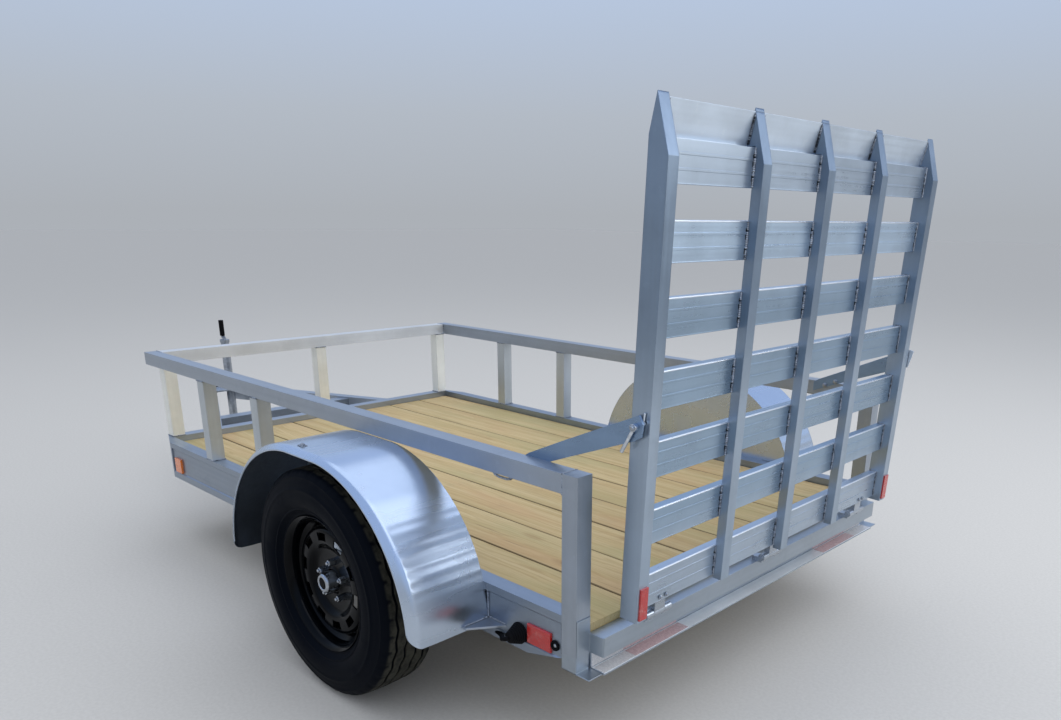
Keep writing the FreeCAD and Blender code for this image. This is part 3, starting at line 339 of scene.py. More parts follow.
def pine(name):
    """Pressure-treated boards: long grain, arches and knots, greenish and pinkish drifts."""
    g = Graph(name)
    x, y, z = g.separate(g.coords)
    # Each board draws its own stretch of the wood
    board = g.math("DIVIDE", g.add(y, INSIDE / 1000.0), BOARD_PITCH / 1000.0)
    dice = g.node("ShaderNodeTexWhiteNoise", {"W": g.math("FLOOR", board)}, noise_dimensions="1D")
    draw = dice.outputs["Value"]
    moved = g.node("ShaderNodeCombineXYZ", {
        "X": g.add(x, g.times(draw, 37.0)), "Y": g.add(y, g.times(draw, 3.0)),
        "Z": g.add(z, g.times(draw, 11.0))}).outputs[0]
    wander = g.streaks((0.9, 9.0, 9.0), 4, 0.55, moved)
    # Growth rings cut lengthways: long arches that bend round the knots
    knot = g.voronoi(1.0, g.scaled((1.5, 5.0, 5.0), moved))
    pull = g.times(g.ramp(knot, 0.0, 0.35, 1.0, 0.0), 0.018)
    lane = g.add(g.add(y, g.times(wander, 0.16)), pull)
    uneven = g.streaks((0.7, 55.0, 55.0), 3, 0.6, moved)
    rings = g.math("SINE", g.add(g.times(lane, 360.0), g.times(uneven, 9.0)))
    broad = g.streaks((0.9, 42.0, 42.0), 4, 0.6, moved)
    grain = g.streaks((3.0, 190.0, 190.0), 5, 0.7, moved)
    pores = g.streaks((22.0, 700.0, 700.0), 3, 0.6, moved)
    color = g.mix(g.ramp(broad, 0.32, 0.68), (0.490, 0.370, 0.187), (0.590, 0.475, 0.272))
    color = g.over(color, g.ramp(rings, 0.2, 1.0), 0.28, (0.330, 0.222, 0.092))
    color = g.over(color, g.ramp(grain, 0.54, 0.72), 0.32, (0.345, 0.240, 0.108))
    color = g.over(color, g.ramp(pores, 0.56, 0.70), 0.30, (0.275, 0.195, 0.098))
    # Greenish and pinkish stretches, and boards that are darker as a whole
    drift = g.streaks((1.1, 5.0, 5.0), 3, 0.5, moved)
    color = g.over(color, g.ramp(drift, 0.48, 0.66), 0.42, (0.350, 0.350, 0.172))
    color = g.over(color, g.ramp(drift, 0.48, 0.32), 0.42, (0.520, 0.310, 0.170))
    tone = g.separate(dice.outputs["Color"])[1]
    color = g.mix(g.ramp(tone, 0.0, 1.0, 0.0, 0.30, "LINEAR"), color, (0.395, 0.305, 0.165))
    # Knots with a darker heart, dirt and drying checks
    heart = g.ramp(knot, 0.030, 0.055, 1.0, 0.0)
    halo = g.ramp(knot, 0.05, 0.12, 1.0, 0.0)
    color = g.over(color, halo, 0.40, (0.280, 0.170, 0.070))
    color = g.over(color, heart, 0.80, (0.14, 0.075, 0.035))
    color = g.over(color, g.ramp(g.noise(6.0, 6, 0.7), 0.52, 0.80), 0.22, (0.200, 0.190, 0.140))
    check = g.ramp(g.streaks((2.2, 120.0, 120.0), 2, 0.5, moved), 0.69, 0.73)
    color = g.over(color, check, 0.55, (0.140, 0.095, 0.050))
    # Dirt and shade gather along the edges of each board
    edge = g.math("ABSOLUTE", g.math("SUBTRACT", g.math("FRACT", board), 0.5))
    color = g.mix(g.ramp(edge, 0.470, 0.488, 0.0, 0.60), color, (0.070, 0.055, 0.034))
    height = g.add(g.times(grain, 0.6), g.times(rings, 0.12))
    height = g.math("SUBTRACT", height, g.times(check, 0.7))
    normal = g.bump(height, 0.35, 0.0012, 0.003)
    return g.finish(color, g.ramp(grain, 0.3, 0.7, 0.60, 0.80), normal, Specular_IOR_Level=0.3)


def plain_floor(name):
    """Pale floor with a faint fleck."""
    g = Graph(name)
    fleck = g.noise(90.0, 4, 0.6)
    color = g.mix(g.ramp(fleck, 0.3, 0.7), (0.53, 0.535, 0.545), (0.57, 0.575, 0.585))
    return g.finish(color, 0.85, Specular_IOR_Level=0.1)


def weld_metal(name):
    """Rippled bead, sooty in places."""
    g = Graph(name)
    ripple = g.noise(260.0, 3, 0.6)
    soot = g.ramp(g.noise(45.0, 4, 0.7), 0.45, 0.7)
    color = g.mix(g.ramp(ripple, 0.3, 0.7), (0.24, 0.26, 0.29), (0.48, 0.51, 0.55))
    color = g.over(color, soot, 0.80, (0.045, 0.048, 0.055))
    normal = g.bump(ripple, 0.4, 0.0008)
    return g.finish(color, g.ramp(ripple, 0.3, 0.7, 0.34, 0.55), normal, Metallic=0.85)


ALONG_X, ALONG_Y, ALONG_Z = (aluminium("aluminium_along_" + axis, axis) for axis in "xyz")
# Painted light: the front rail and front posts are lighter, cream copies of the aluminium, standing in for
# the light on their rear faces
LIT_FRONT_RAIL = aluminium("aluminium_front_y_painted_light", "y", (0.64, 0.67, 0.71), metal=0.5)
LIT_FRONT_POST = aluminium("aluminium_front_z_painted_light", "z", (0.84, 0.85, 0.81), metal=0.5)
SIDE_POST = aluminium("aluminium_side_post", "z", (0.48, 0.52, 0.55), metal=0.65)
SIDE_RAIL = aluminium("aluminium_side_rail", "x", (0.290, 0.335, 0.400))
SILL = aluminium("aluminium_sill", "y", (0.37, 0.42, 0.475))
# Painted light: a pale, little metallic copy of aluminium for the sill's flange, standing in for the light
# on its top
LIT_FLANGE = aluminium("aluminium_flange_painted_light", "y", (0.82, 0.87, 0.92), (0.34, 0.46), metal=0.35)
# Painted shade and light by height: the uprights darker towards their tips, the planks darker through the
# middle and lighter near the top
UPRIGHT = aluminium("aluminium_gate_upright", "z", (0.370, 0.445, 0.535), (0.28, 0.40), 0.0028,
                    lit_and_shaded_heights=((0.90, 1.20, (0.64, 0.68, 0.73)),))
PLANK = aluminium("aluminium_gate_plank", "y", (0.430, 0.505, 0.595), (0.26, 0.36),
                  lit_and_shaded_heights=((0.54, 0.70, (0.72, 0.81, 0.87)), (1.12, 1.30, (1.20, 1.26, 1.29)),
                         (1.40, 1.45, (1.0, 1.0, 1.0))))
# Painted reflection: the latch bars' blue tint stands in for the sky they reflect
SKY_TINTED_LATCH = aluminium("aluminium_latch_bar_painted_sky", "x", (0.235, 0.33, 0.47), (0.26, 0.36))
# Painted light: the top plank is a lighter, rougher copy of the plank aluminium, standing in for the light
# on it
LIT_TOP_PLANK = aluminium("aluminium_top_plank_painted_light", "y", (0.66, 0.74, 0.83), (0.34, 0.46))
HINGE = aluminium("aluminium_hinge", "y", (0.44, 0.48, 0.53), (0.24, 0.36))
# Painted shade: a near-black copy of aluminium for the inside of the fenders, standing in for the shade
# under the arch
SHADED_LINING = aluminium("sheet_inside_painted_shade", "x", (0.085, 0.105, 0.135), (0.42, 0.56))
POLISHED = polished("polished_sheet")
ZINC = zinc("zinc_steel")
NUT = zinc("nut_steel", (0.44, 0.47, 0.51), (0.18, 0.34))
ROD = zinc("bright_rod", (0.66, 0.70, 0.75), (0.2, 0.3))
BLACK = black_paint("black_paint")
TYRE = rubber("tyre_rubber", tread=True)
RUBBER = rubber("soft_rubber", (0.005, 0.005, 0.006), 0.5)
RED = lens("red_lens", (0.50, 0.010, 0.008), (0.30, 0.003, 0.004))
AMBER = lens("amber_lens", (0.86, 0.22, 0.03), (0.62, 0.12, 0.015))
RED_TAPE = tape("red_tape", (0.50, 0.37, 0.40), (0.62, 0.47, 0.50))
WHITE_TAPE = tape("white_tape", (0.55, 0.56, 0.60), (0.66, 0.67, 0.70))
PINE = pine("treated_pine")
WELD = weld_metal("weld_metal")
# Painted highlight: a very pale copy of aluminium for the plank lips and the latch keepers, standing in for
# the light they catch
PAINTED_HIGHLIGHT = aluminium("aluminium_lip_painted_highlight", "y", (0.80, 0.85, 0.91), (0.26, 0.36))
# Painted shadow: a near-black copy of aluminium laid beside the welds and along the upright tips, standing
# in for their shadow
SHADOW_PAINT = aluminium("painted_shadow_by_welds", "z", (0.035, 0.040, 0.048), (0.5, 0.6))


# Finish of each node; a star stands for left and right
NODE_LOOKS = (
    (ALONG_X, "top_rail_* tongue_tube_* fender_brackets"),
    (ALONG_Y, "front_sill cross_members tongue_cross"),
    (ALONG_Z, "rear_post_*"),
    (LIT_FRONT_RAIL, "top_rail_front"),
    (LIT_FRONT_POST, "front_posts"),
    (SIDE_POST, "side_posts_*"),
    (SIDE_RAIL, "side_rail_*"),
    (SILL, "rear_sill"),
    (UPRIGHT, "gate_upright_* gate_inner_uprights"),
    (PLANK, "gate_planks"),
    (LIT_TOP_PLANK, "gate_top_plank"),
    (HINGE, "gate_hinges sill_hinges"),
    (SKY_TINTED_LATCH, "latch_bar_*"),
    (ROD, "latch_lever_*"),
    (POLISHED, "fender_*"),
    (PINE, "deck_boards"),
    (TYRE, "tyre_*"),
    (BLACK, "rim_* coupler"),
    (ZINC, "hub_* torsion_arm_* axle_tube axle_seats coupler_latch jack_tube jack_leg jack_crank"),
    (RUBBER, "jack_grip"),
    (RED, "side_markers gate_reflectors"),
    (AMBER, "front_reflectors"),
)
for material, names in NODE_LOOKS:
    for name in names.split():
        for node_name in sorted({name.replace("*", side) for side, sign in SIDES}):
            slots = NODES[node_name].data.materials
            slots.clear()
            slots.append(material)


# Mesh helpers
def circle(count, start=0.0):
    """Angles spread evenly over a full turn."""
    return [start + 2 * pi * step / count for step in range(count)]


def around(centre, axis, radius, angle, out):
    """A point at a radius from a centre, turned round an axis and moved out along it."""
    a, b = radius * cos(angle), radius * sin(angle)
    offset = {"x": (out, a, b), "y": (a, out, b), "z": (a, b, out)}[axis]
    return Vector(centre) + Vector(offset)


class Shape:
    """Points, in millimetres of a drawing, and faces gathered for one piece."""

    def __init__(self):
        self.points = []
        self.faces = []

    def add(self, points, faces):
        first = len(self.points)
        self.points.extend(Vector(point) for point in points)
        self.faces.extend(tuple(first + index for index in face) for face in faces)

    def rows(self, rows, closed=False, along=False, keep=None):
        """Faces between rows of points; each row, or the run of rows, may be closed."""
        count = len(rows[0])
        faces = []
        for i in range(len(rows) if along else len(rows) - 1):
            after = (i + 1) % len(rows)
            for j in range(count if closed else count - 1):
                beside = (j + 1) % count
                if keep is None or keep(i, j):
                    faces.append((i * count + j, i * count + beside, after * count + beside,
                                  after * count + j))
        self.add([point for row in rows for point in row], faces)

    def loft(self, rows):
        """A closed solid through closed rows, with flat ends."""
        self.rows(rows, closed=True)
        for row in (rows[0], rows[-1]):
            self.add(row, [tuple(range(len(row)))])

    def lathe(self, centre, profile, axis="y", sign=1, turns=72, closed=False):
        """A profile of (radius, distance along the axis) turned round an axis through the centre."""
        rows = [[around(centre, axis, radius, angle, sign * out) for radius, out in profile]
                for angle in circle(turns)]
        self.rows(rows, closed, along=True)

    def hexagon(self, centre, axis, sign, radius, steps, start=0.0):
        """A hexagonal head through steps of (share of the radius, distance along the axis)."""
        self.loft([[around(centre, axis, radius * share, angle, sign * out) for angle in circle(6, start)]
                   for share, out in steps])

    def block(self, low, high, ease=0.0):
        """A box drawn along its longest side, its four long corners eased."""
        spans = [high[i] - low[i] for i in range(3)]
        run = spans.index(max(spans))
        u, v = [i for i in range(3) if i != run]
        a0, a1, b0, b1 = low[u], high[u], low[v], high[v]
        e = min(ease, spans[u] / 2.2, spans[v] / 2.2)
        section = [(a0 + e, b0), (a1 - e, b0), (a1, b0 + e), (a1, b1 - e), (a1 - e, b1), (a0 + e, b1),
                   (a0, b1 - e), (a0, b0 + e)]
        self.loft([[[{u: a, v: b}.get(i, end) for i in range(3)] for a, b in section]
                   for end in (low[run], high[run])])

    def tube(self, path, radius, sides=10, closed=False):
        """A round bar along a path, without twist."""
        path = [Vector(point) for point in path]
        count = len(path)
        normal = None
        rows = []
        for index, point in enumerate(path):
            before = path[index - 1] if index or closed else point
            after = path[(index + 1) % count] if index < count - 1 or closed else point
            along = (after - before).normalized()
            if normal is None:
                normal = along.orthogonal().normalized()
            normal = (normal - along * normal.dot(along)).normalized()
            side = along.cross(normal)
            rows.append([point + (normal * cos(angle) + side * sin(angle)) * radius
                         for angle in circle(sides)])
        if closed:
            self.rows(rows, closed=True, along=True)
        else:
            self.loft(rows)

    def ripple(self, centre, along, radius):
        """One flattened drop of a weld."""
        side = along.orthogonal().normalized()
        other = along.cross(side)
        self.loft([[centre + along * lift * radius +
                    (side * cos(angle) + other * sin(angle)) * radius * share for angle in circle(6)]
                   for lift, share in ((-0.5, 0.72), (0.0, 1.0), (0.5, 0.72))])

    def weld(self, start, end, radius):
        """A row of overlapping ripples from one point to another."""
        start, end = Vector(start), Vector(end)
        run = end - start
        along = run.normalized()
        count = max(2, int(run.length / (radius * 1.05)))
        for index in range(count + 1):
            centre = start + run * (index / count)
            self.ripple(centre, along, radius * DICE.uniform(0.82, 1.18))

    def weld_up(self, x, y, low, high, radius):
        """An upright weld."""
        self.weld((x, y, low), (x, y, high), radius)

    def make(self, name, material, body="chassis", slot_name="mill_aluminium", smooth=40.0, stands_for=None):
        """Makes the piece and lets it ride a body; the name of its finish is not used."""
        place = gate_drawn if body == "gate" else drawn
        mesh = bpy.data.meshes.new(name)
        mesh.from_pydata([place(*point) for point in self.points], [], self.faces)
        work = bmesh.new()
        work.from_mesh(mesh)
        bmesh.ops.remove_doubles(work, verts=work.verts, dist=1e-6)
        bmesh.ops.recalc_face_normals(work, faces=work.faces)
        work.to_mesh(mesh)
        work.free()
        mesh.shade_smooth()
        mesh.set_sharp_from_angle(angle=radians(smooth))
        mesh.materials.append(material)
        item = put(name, mesh)
        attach(item, body)
        if stands_for:
            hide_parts(stands_for)
        return item


# Deck
def deck():
    """Eight boards with eased edges, each bowed and cut a little differently."""
    shape = Shape()
    arc = [(BOARD_EASE * cos(angle), BOARD_EASE * sin(angle))
           for angle in (pi / 8 * step for step in range(5))]
    for index in range(BOARDS):
        left = -INSIDE + index * BOARD_PITCH + BOARD_GAP / 2
        right = left + BOARD_PITCH - BOARD_GAP
        top = DECK_TOP - DICE.uniform(0.0, 1.6)
        start = DICE.uniform(0.0, 3.0)
        end = BED_LENGTH - TUBE - DICE.uniform(0.0, 3.0)
        cup = DICE.uniform(0.2, 1.0)
        phase = DICE.uniform(0, 6.28)
        rows = []
        for step in range(33):
            x = start + (end - start) * step / 32
            crown = top + 0.5 * sin(phase + x / 420.0) - 0.5
            row = [(x, left + BOARD_EASE - c, crown - BOARD_EASE + s) for c, s in arc]
            row += [(x, left + (right - left) * share, crown - cup * (1 - (2 * share - 1) ** 2))
                    for share in (0.2, 0.35, 0.5, 0.65, 0.8)]
            row += [(x, right - BOARD_EASE + s, crown - BOARD_EASE + c) for c, s in arc]
            row += [(x, right - 0.4, DECK_BOTTOM + 2), (x, right - 3, DECK_BOTTOM),
                    (x, left + 3, DECK_BOTTOM), (x, left + 0.4, DECK_BOTTOM + 2)]
            rows.append(row)
        shape.loft(rows)
    shape.make("deck_planking", PINE, "chassis", "treated_pine", stands_for="deck_boards")


# Fenders
def fender_path():
    """Points of the arch with their inward direction, from the rear foot to the front foot."""
    flat = FENDER_HALF - FENDER_SHOULDER
    spring = FENDER_TOP - FENDER_SHOULDER
    path = [(-FENDER_HALF, FENDER_BOTTOM, 1.0, 0.0)]
    for centre, start in ((-flat, pi), (flat, pi / 2)):
        if centre > 0:
            path += [(flat * share, FENDER_TOP, 0.0, -1.0) for share in (-0.5, 0.0, 0.5)]
        for step in range(FENDER_STEPS + 1):
            angle = start - pi / 2 * step / FENDER_STEPS
            c, s = cos(angle), sin(angle)
            path.append((centre + FENDER_SHOULDER * c, spring + FENDER_SHOULDER * s, -c, -s))
    path.append((FENDER_HALF, FENDER_BOTTOM, -1.0, 0.0))
    return path


def fold_depth(nx):
    """Depth of the folded edge: less over the crown than at the feet."""
    return FOLD_DROP * (0.72 + 0.28 * abs(nx))


def rolled_band(x, z):
    """The shallow waves that the rolls leave across the rear slope."""
    turn = degrees(atan2(z - OPENING_Z, -x))
    within = max(0.0, min(1.0, (turn - 15) / 4, (44 - turn) / 4)) if x < 0 else 0.0
    return 0.38 * cos(turn * 1.75) * within


def fender(side, sign):
    """Rolled sheet: flat crown, rounded outer edge, folded lip, eased lower corners, inner panel."""
    shape = Shape()
    slope = FOLD_DROP / FOLD_OUT
    crease = FENDER_OUTSIDE - FOLD_OUT
    bend = FOLD_BLEND * slope
    skins = []
    for gauge in (0.0, FENDER_SHEET):
        rows = []
        for x, z, nx, nz in fender_path():
            flat = crease - FOLD_BLEND - BED_HALF
            section = [(BED_HALF + share * flat, gauge + rolled_band(x, z))
                       for share in (0.0, 0.2, 0.4, 0.6, 0.8, 0.97)]
            for step in range(7):
                t = step / 6
                section.append((crease - FOLD_BLEND * (1 - t) ** 2 + FOLD_BLEND * t * t,
                                gauge + bend * t * t))
            for share in (0.3, 0.6, 0.85, 1.0):
                depth = bend + (fold_depth(nx) - bend) * share
                section.append((crease + depth / slope, gauge + depth))
            row = []
            for y, inward in section:
                height = z + nz * inward
                past = y - (FENDER_OUTSIDE - CORNER_RADIUS)
                if past > 0:
                    lift = CORNER_RADIUS - sqrt(max(0.0, CORNER_RADIUS ** 2 - past * past))
                    height = max(height, FENDER_BOTTOM + lift)
                row.append((WHEEL[0] + x + nx * inward, sign * y, height))
            rows.append(row)
        skins.append(rows)
    outer, inner = skins
    shape.rows(outer)
    for index in (0, -1):
        shape.rows([outer[index], inner[index]])
        shape.rows([[row[index] for row in outer], [row[index] for row in inner]])
    # Inner panel beside the rail
    middle = FENDER_SHEET / 2
    panel = [(WHEEL[0] + x + middle * nx, z + middle * nz) for x, z, nx, nz in fender_path()]
    shape.loft([[(x, sign * y, z) for x, z in panel] for y in (BED_HALF + 0.2, BED_HALF + FENDER_SHEET)])
    # Folded lip along the wheel opening, clear of the feet
    lip = []
    for x, z, nx, nz in fender_path()[8:-8]:
        inward = fold_depth(nx) + middle
        lip.append((WHEEL[0] + x + nx * inward, sign * (crease + fold_depth(nx) / slope - LIP_RADIUS),
                    z + nz * inward))
    shape.tube(lip, LIP_RADIUS, 10)
    shape.make("fender_sheet_" + side, POLISHED, "chassis", "polished_aluminium",
               stands_for="fender_" + side, smooth=50.0)
    # The inner skin in the dark copy: painted shade inside the arch
    shaded_lining = Shape()
    shaded_lining.rows(inner)
    shaded_lining.make("fender_lining_" + side, SHADED_LINING, "chassis", "polished_aluminium", smooth=50.0)


# Wheels: sections as (radius, distance from the wheel's middle plane)
SIDEWALL = (
    (190, 60), (197, 65), (205, 72), (209, 75.5), (213, 76), (217, 80), (223, 87), (226, 91), (229, 91.4),
    (231, 90.6), (238, 95), (250, 98.8), (262, 100), (274, 99.6), (282, 98.6), (284, 99.3), (288, 98.9),
    (290, 97.2), (300, 95.2), (310, 92.4), (318, 89.4), (321, 89.6), (324, 87.6), (331, 83.4), (336, 79),
    (339.5, 74), (341.4, TREAD_HALF),
)
# Rolled lip, bead seat, drop centre and inner lip of the rim
BARREL = (
    (204, 78.5), (206, 76.5), (205.6, 73.6), (201.5, 70.6), (196, 67), (192.5, 62), (190, 54), (189, 34),
    (182, 28), (172, 22), (171, -8), (180, -18), (189, -30), (190, -56), (193, -63), (199, -69),
    (205.6, -73.6), (206, -76.5), (204, -78.5), (199, -75), (191, -68), (186, -58), (186, -34), (176, -20),
    (167, -10), (168, 24), (179, 32), (185.5, 38), (186, 57), (190, 67), (197, 74.5),
)
# From the weld in the barrel to the hand holes, and from there to the hub bore
DISH_EDGE = ((168, 20), (166, 34), (162, 42), (156, 46.5), (148, 48.4))
DISH_MIDDLE = (
    (124, 48.4), (116, 47), (110, 44), (104, 38), (97, 31.5), (88, 29), (66, 28.4), (48, 28.4), (40, 30),
    (36, 33.5), (34.4, 33.5),
)
DISH_GAUGE = 4.2
DISH_TURNS = 180
HOLES = 10
HOLE_PITCH = DISH_TURNS // HOLES
# Back of the hub, wheel flange, grease cap and the seat of its plug
HUB = ((21, -38), (46, -38), (50, -30), (58, -6), (68, 8), (68, 23), (33.4, 23.2), (31, 26), (31, 50),
       (30.2, 52), (30.2, 62), (28.6, 67), (25, 70.4), (19, 71), (17.6, 69.6), (17.6, 66.5))
PLUG = ((0.01, 69.2), (6, 69.6), (13, 69.4), (16.4, 68.2), (17.6, 66.5), (17.6, 60))
NUT_STEPS = ((1.05, 28.4), (1.0, 30.5), (1.0, 43.0), (0.86, 46.6), (0.6, 47.6))
STUD = ((0.01, 52.5), (4.2, 52.5), (5.2, 51.2), (5.2, 46.5))
NUT_CIRCLE = 57.0
NUT_RADIUS = 10.6


def hub_centre(sign):
    """The middle of the wheel on one side."""
    return (WHEEL[0], sign * WHEEL[1], WHEEL[2])


def crown(out):
    """Radius of the tread at a distance from its middle."""
    return WHEEL[2] - TREAD_CROWN * (out / TREAD_HALF) ** 2


def tyre_profile():
    """Half of the section, from the bead over the sidewall to the middle of the tread."""
    half = list(SIDEWALL)
    half += [(crown(64), 64), (crown(58), 58)]
    for middle in GROOVES:
        half += [(crown(middle + 4.4), middle + 4.4), (crown(middle) - GROOVE_DEPTH, middle + 3.2),
                 (crown(middle) - GROOVE_DEPTH, middle - 3.2), (crown(middle - 4.4), middle - 4.4),
                 (crown(middle - 12), middle - 12)]
    return half


def tyre(side, sign):
    """Tyre with ringed sidewalls and grooves that run in zigzags round the tread."""
    half = tyre_profile()
    profile = half + [(radius, -out) for radius, out in reversed(half)]
    shape = Shape()
    rows = []
    for step, angle in enumerate(circle(TYRE_TURNS)):
        wave = 1.5 * (abs((step % 8) - 4) - 2)
        notch = step % 6 == 0
        row = []
        for radius, out in profile:
            away = abs(out)
            y = out
            if away < 58:
                y += wave * (1 if away > 30 else -1)
            if notch and 62 < away < 86 and radius > 322:
                radius -= 2.6
            elif notch and 22 < away < 44 and radius > 341:
                radius -= 1.2
            row.append(around(hub_centre(sign), "y", radius, angle, y))
        rows.append(row)
    shape.rows(rows, closed=True, along=True)
    shape.make("tyre_tread_" + side, TYRE, "wheel_" + side, "tyre_rubber",
               stands_for="tyre_" + side, smooth=35.0)


def rim(side, sign):
    """Steel rim: barrel with rolled lips, a dish with ten hand holes and a pressed bolt face."""
    centre = hub_centre(sign)
    shape = Shape()
    shape.lathe(centre, BARREL, sign=sign, turns=144, closed=True)
    edge = len(DISH_EDGE) - 1
    turns = circle(DISH_TURNS)
    for gauge in (0.0, DISH_GAUGE):
        rows = [[around(centre, "y", radius, angle, sign * (out - gauge))
                 for radius, out in DISH_EDGE + DISH_MIDDLE] for angle in turns]
        shape.rows(rows, along=True, keep=lambda i, j: j != edge or i % HOLE_PITCH >= HOLE_PITCH / 2)
    # Walls of the hand holes
    high, face = DISH_EDGE[-1]
    low = DISH_MIDDLE[0][0]
    for hole in range(HOLES):
        across = [turns[hole * HOLE_PITCH + step] for step in range(HOLE_PITCH // 2 + 1)]
        loop = [(high, angle) for angle in across] + [(low, angle) for angle in reversed(across)]
        shape.rows([[around(centre, "y", radius, angle, sign * out) for radius, angle in loop]
                    for out in (face, face - DISH_GAUGE)], closed=True)
    shape.make("rim_steel_" + side, BLACK, "wheel_" + side, "black_steel",
               stands_for="rim_" + side, smooth=32.0)


def hub(side, sign):
    """Hub with a grease cap and its rubber plug, five cone nuts on their studs."""
    centre = hub_centre(sign)
    shape = Shape()
    shape.lathe(centre, HUB, sign=sign)
    for turn in circle(5, radians(18)):
        at = around(centre, "y", NUT_CIRCLE, turn, 0)
        shape.hexagon(at, "y", sign, NUT_RADIUS, NUT_STEPS, 0.3)
        shape.lathe(at, STUD, sign=sign, turns=16)
    shape.make("hub_metal_" + side, NUT, "wheel_" + side, "zinc_steel",
               stands_for="hub_" + side, smooth=28.0)
    plug = Shape()
    plug.lathe(centre, PLUG, sign=sign, turns=40)
    plug.make("cap_plug_" + side, RUBBER, "wheel_" + side, "black_rubber")


# Welds
def beside_uprights(gap):
    """Places at a gap from the left and right faces of the inner uprights."""
    return [middle + sign * (UPRIGHT_HALF + gap) for middle in UPRIGHTS_Y for sign in (1, -1)]


def gate_welds():
    """Fillets where the planks meet the uprights, and at the tips."""
    shape = Shape()
    back = -PLANK_DEPTH - 1.0
    for top in PLANK_TOPS:
        low = top - PLANK_HEIGHT
        for y in beside_uprights(1.0):
            for start, end, radius in ((low + 3, low + 20, 3.8), (low + 28, top - 26, 4.6),
                                       (top - 18, top - 2, 3.6)):
                shape.weld_up(back, y, start, end, radius)
        for sign in (1, -1):
            y = sign * (BAY_HALF - 1.0)
            shape.weld_up(back, y, low + 3, top - 2, 3.4)
            shape.weld((-4, y, top + 0.5), (back, y, top + 0.5), 2.6)
    tips = [(sign * (BAY_HALF - 0.8), 1164, 2.8) for sign in (1, -1)]
    tips += [(y, 1162, 3.6) for y in beside_uprights(0.8)]
    for y, high, radius in tips:
        shape.weld((-6, y, GATE_SHOULDER + 6), (-18.2, y, high), radius)
    shape.make("gate_welds", WELD, "gate")


# Low end, high end and reach of each patch of painted shadow beside a weld, from the foot of a plank
SHADOW_PATCHES = ((1, 14, 4.0), (14, 34, 6.6), (34, 46, 3.6), (46, 72, 6.8), (72, 86, 3.2))


def plank_lips():
    """Rolled lips and ribs on the rear face of each plank, with painted highlight on the lips and painted
    shadow beside the welds.
    """
    ribs, lips, shadow_shape = Shape(), Shape(), Shape()
    ends = [BAY_HALF - 1.0, *beside_uprights(1.0), 1.0 - BAY_HALF]
    bays = [(ends[index + 1], ends[index]) for index in range(0, len(ends), 2)]
    for top in PLANK_TOPS:
        low = top - PLANK_HEIGHT
        for start, end in bays:
            if top < 0.99 * GATE_SHOULDER:
                x = 2.0 - PLANK_DEPTH
                lips.tube([(x, start, top - 1.0), (x, end, top - 1.0)], 2.8, 12)
            x = 1.6 - PLANK_DEPTH
            ribs.tube([(x, start, low + 1.6), (x, end, low + 1.6)], 2.0, 12)
            for height in (top - 27.0, top - 58.0):
                ribs.block((-PLANK_DEPTH - 0.9, start, height - 3.2),
                           (-PLANK_DEPTH + 0.5, end, height + 3.2), 0.9)
            # Dark patches beside each weld: painted shadow
            for y in (start - 1, end + 1):
                for foot, head, reach in SHADOW_PATCHES:
                    shadow_shape.block((-PLANK_DEPTH - 0.35, y - reach, low + foot),
                               (-PLANK_DEPTH + 0.3, y + reach, low + head), 0.2)
    # Dark bars along the upright tips: painted shadow
    for y in beside_uprights(1.0):
        shadow_shape.tube([(-5.5, y, GATE_SHOULDER + 2), (-11, y, 1128), (-17, y, 1160)], 3.2, 8)
    ribs.make("plank_ribs", PLANK, "gate")
    # The lips in the pale copy: painted highlight along each plank's top
    lips.make("plank_lips", PAINTED_HIGHLIGHT, "gate")
    shadow_shape.make("painted_shadow_by_welds", SHADOW_PAINT, "gate")


def weld_post(shape, x, y):
    """Beads round the foot and the head of an upright tube."""
    near, far = -0.8, TUBE + 0.8
    for z in (FRAME_TOP + 1.2, RAIL_LOW - 1.2):
        corners = [(x + a, y + b, z) for a, b in ((near, near), (far, near), (far, far), (near, far))]
        for index, corner in enumerate(corners):
            shape.weld(corner, corners[(index + 1) % 4], 2.6)


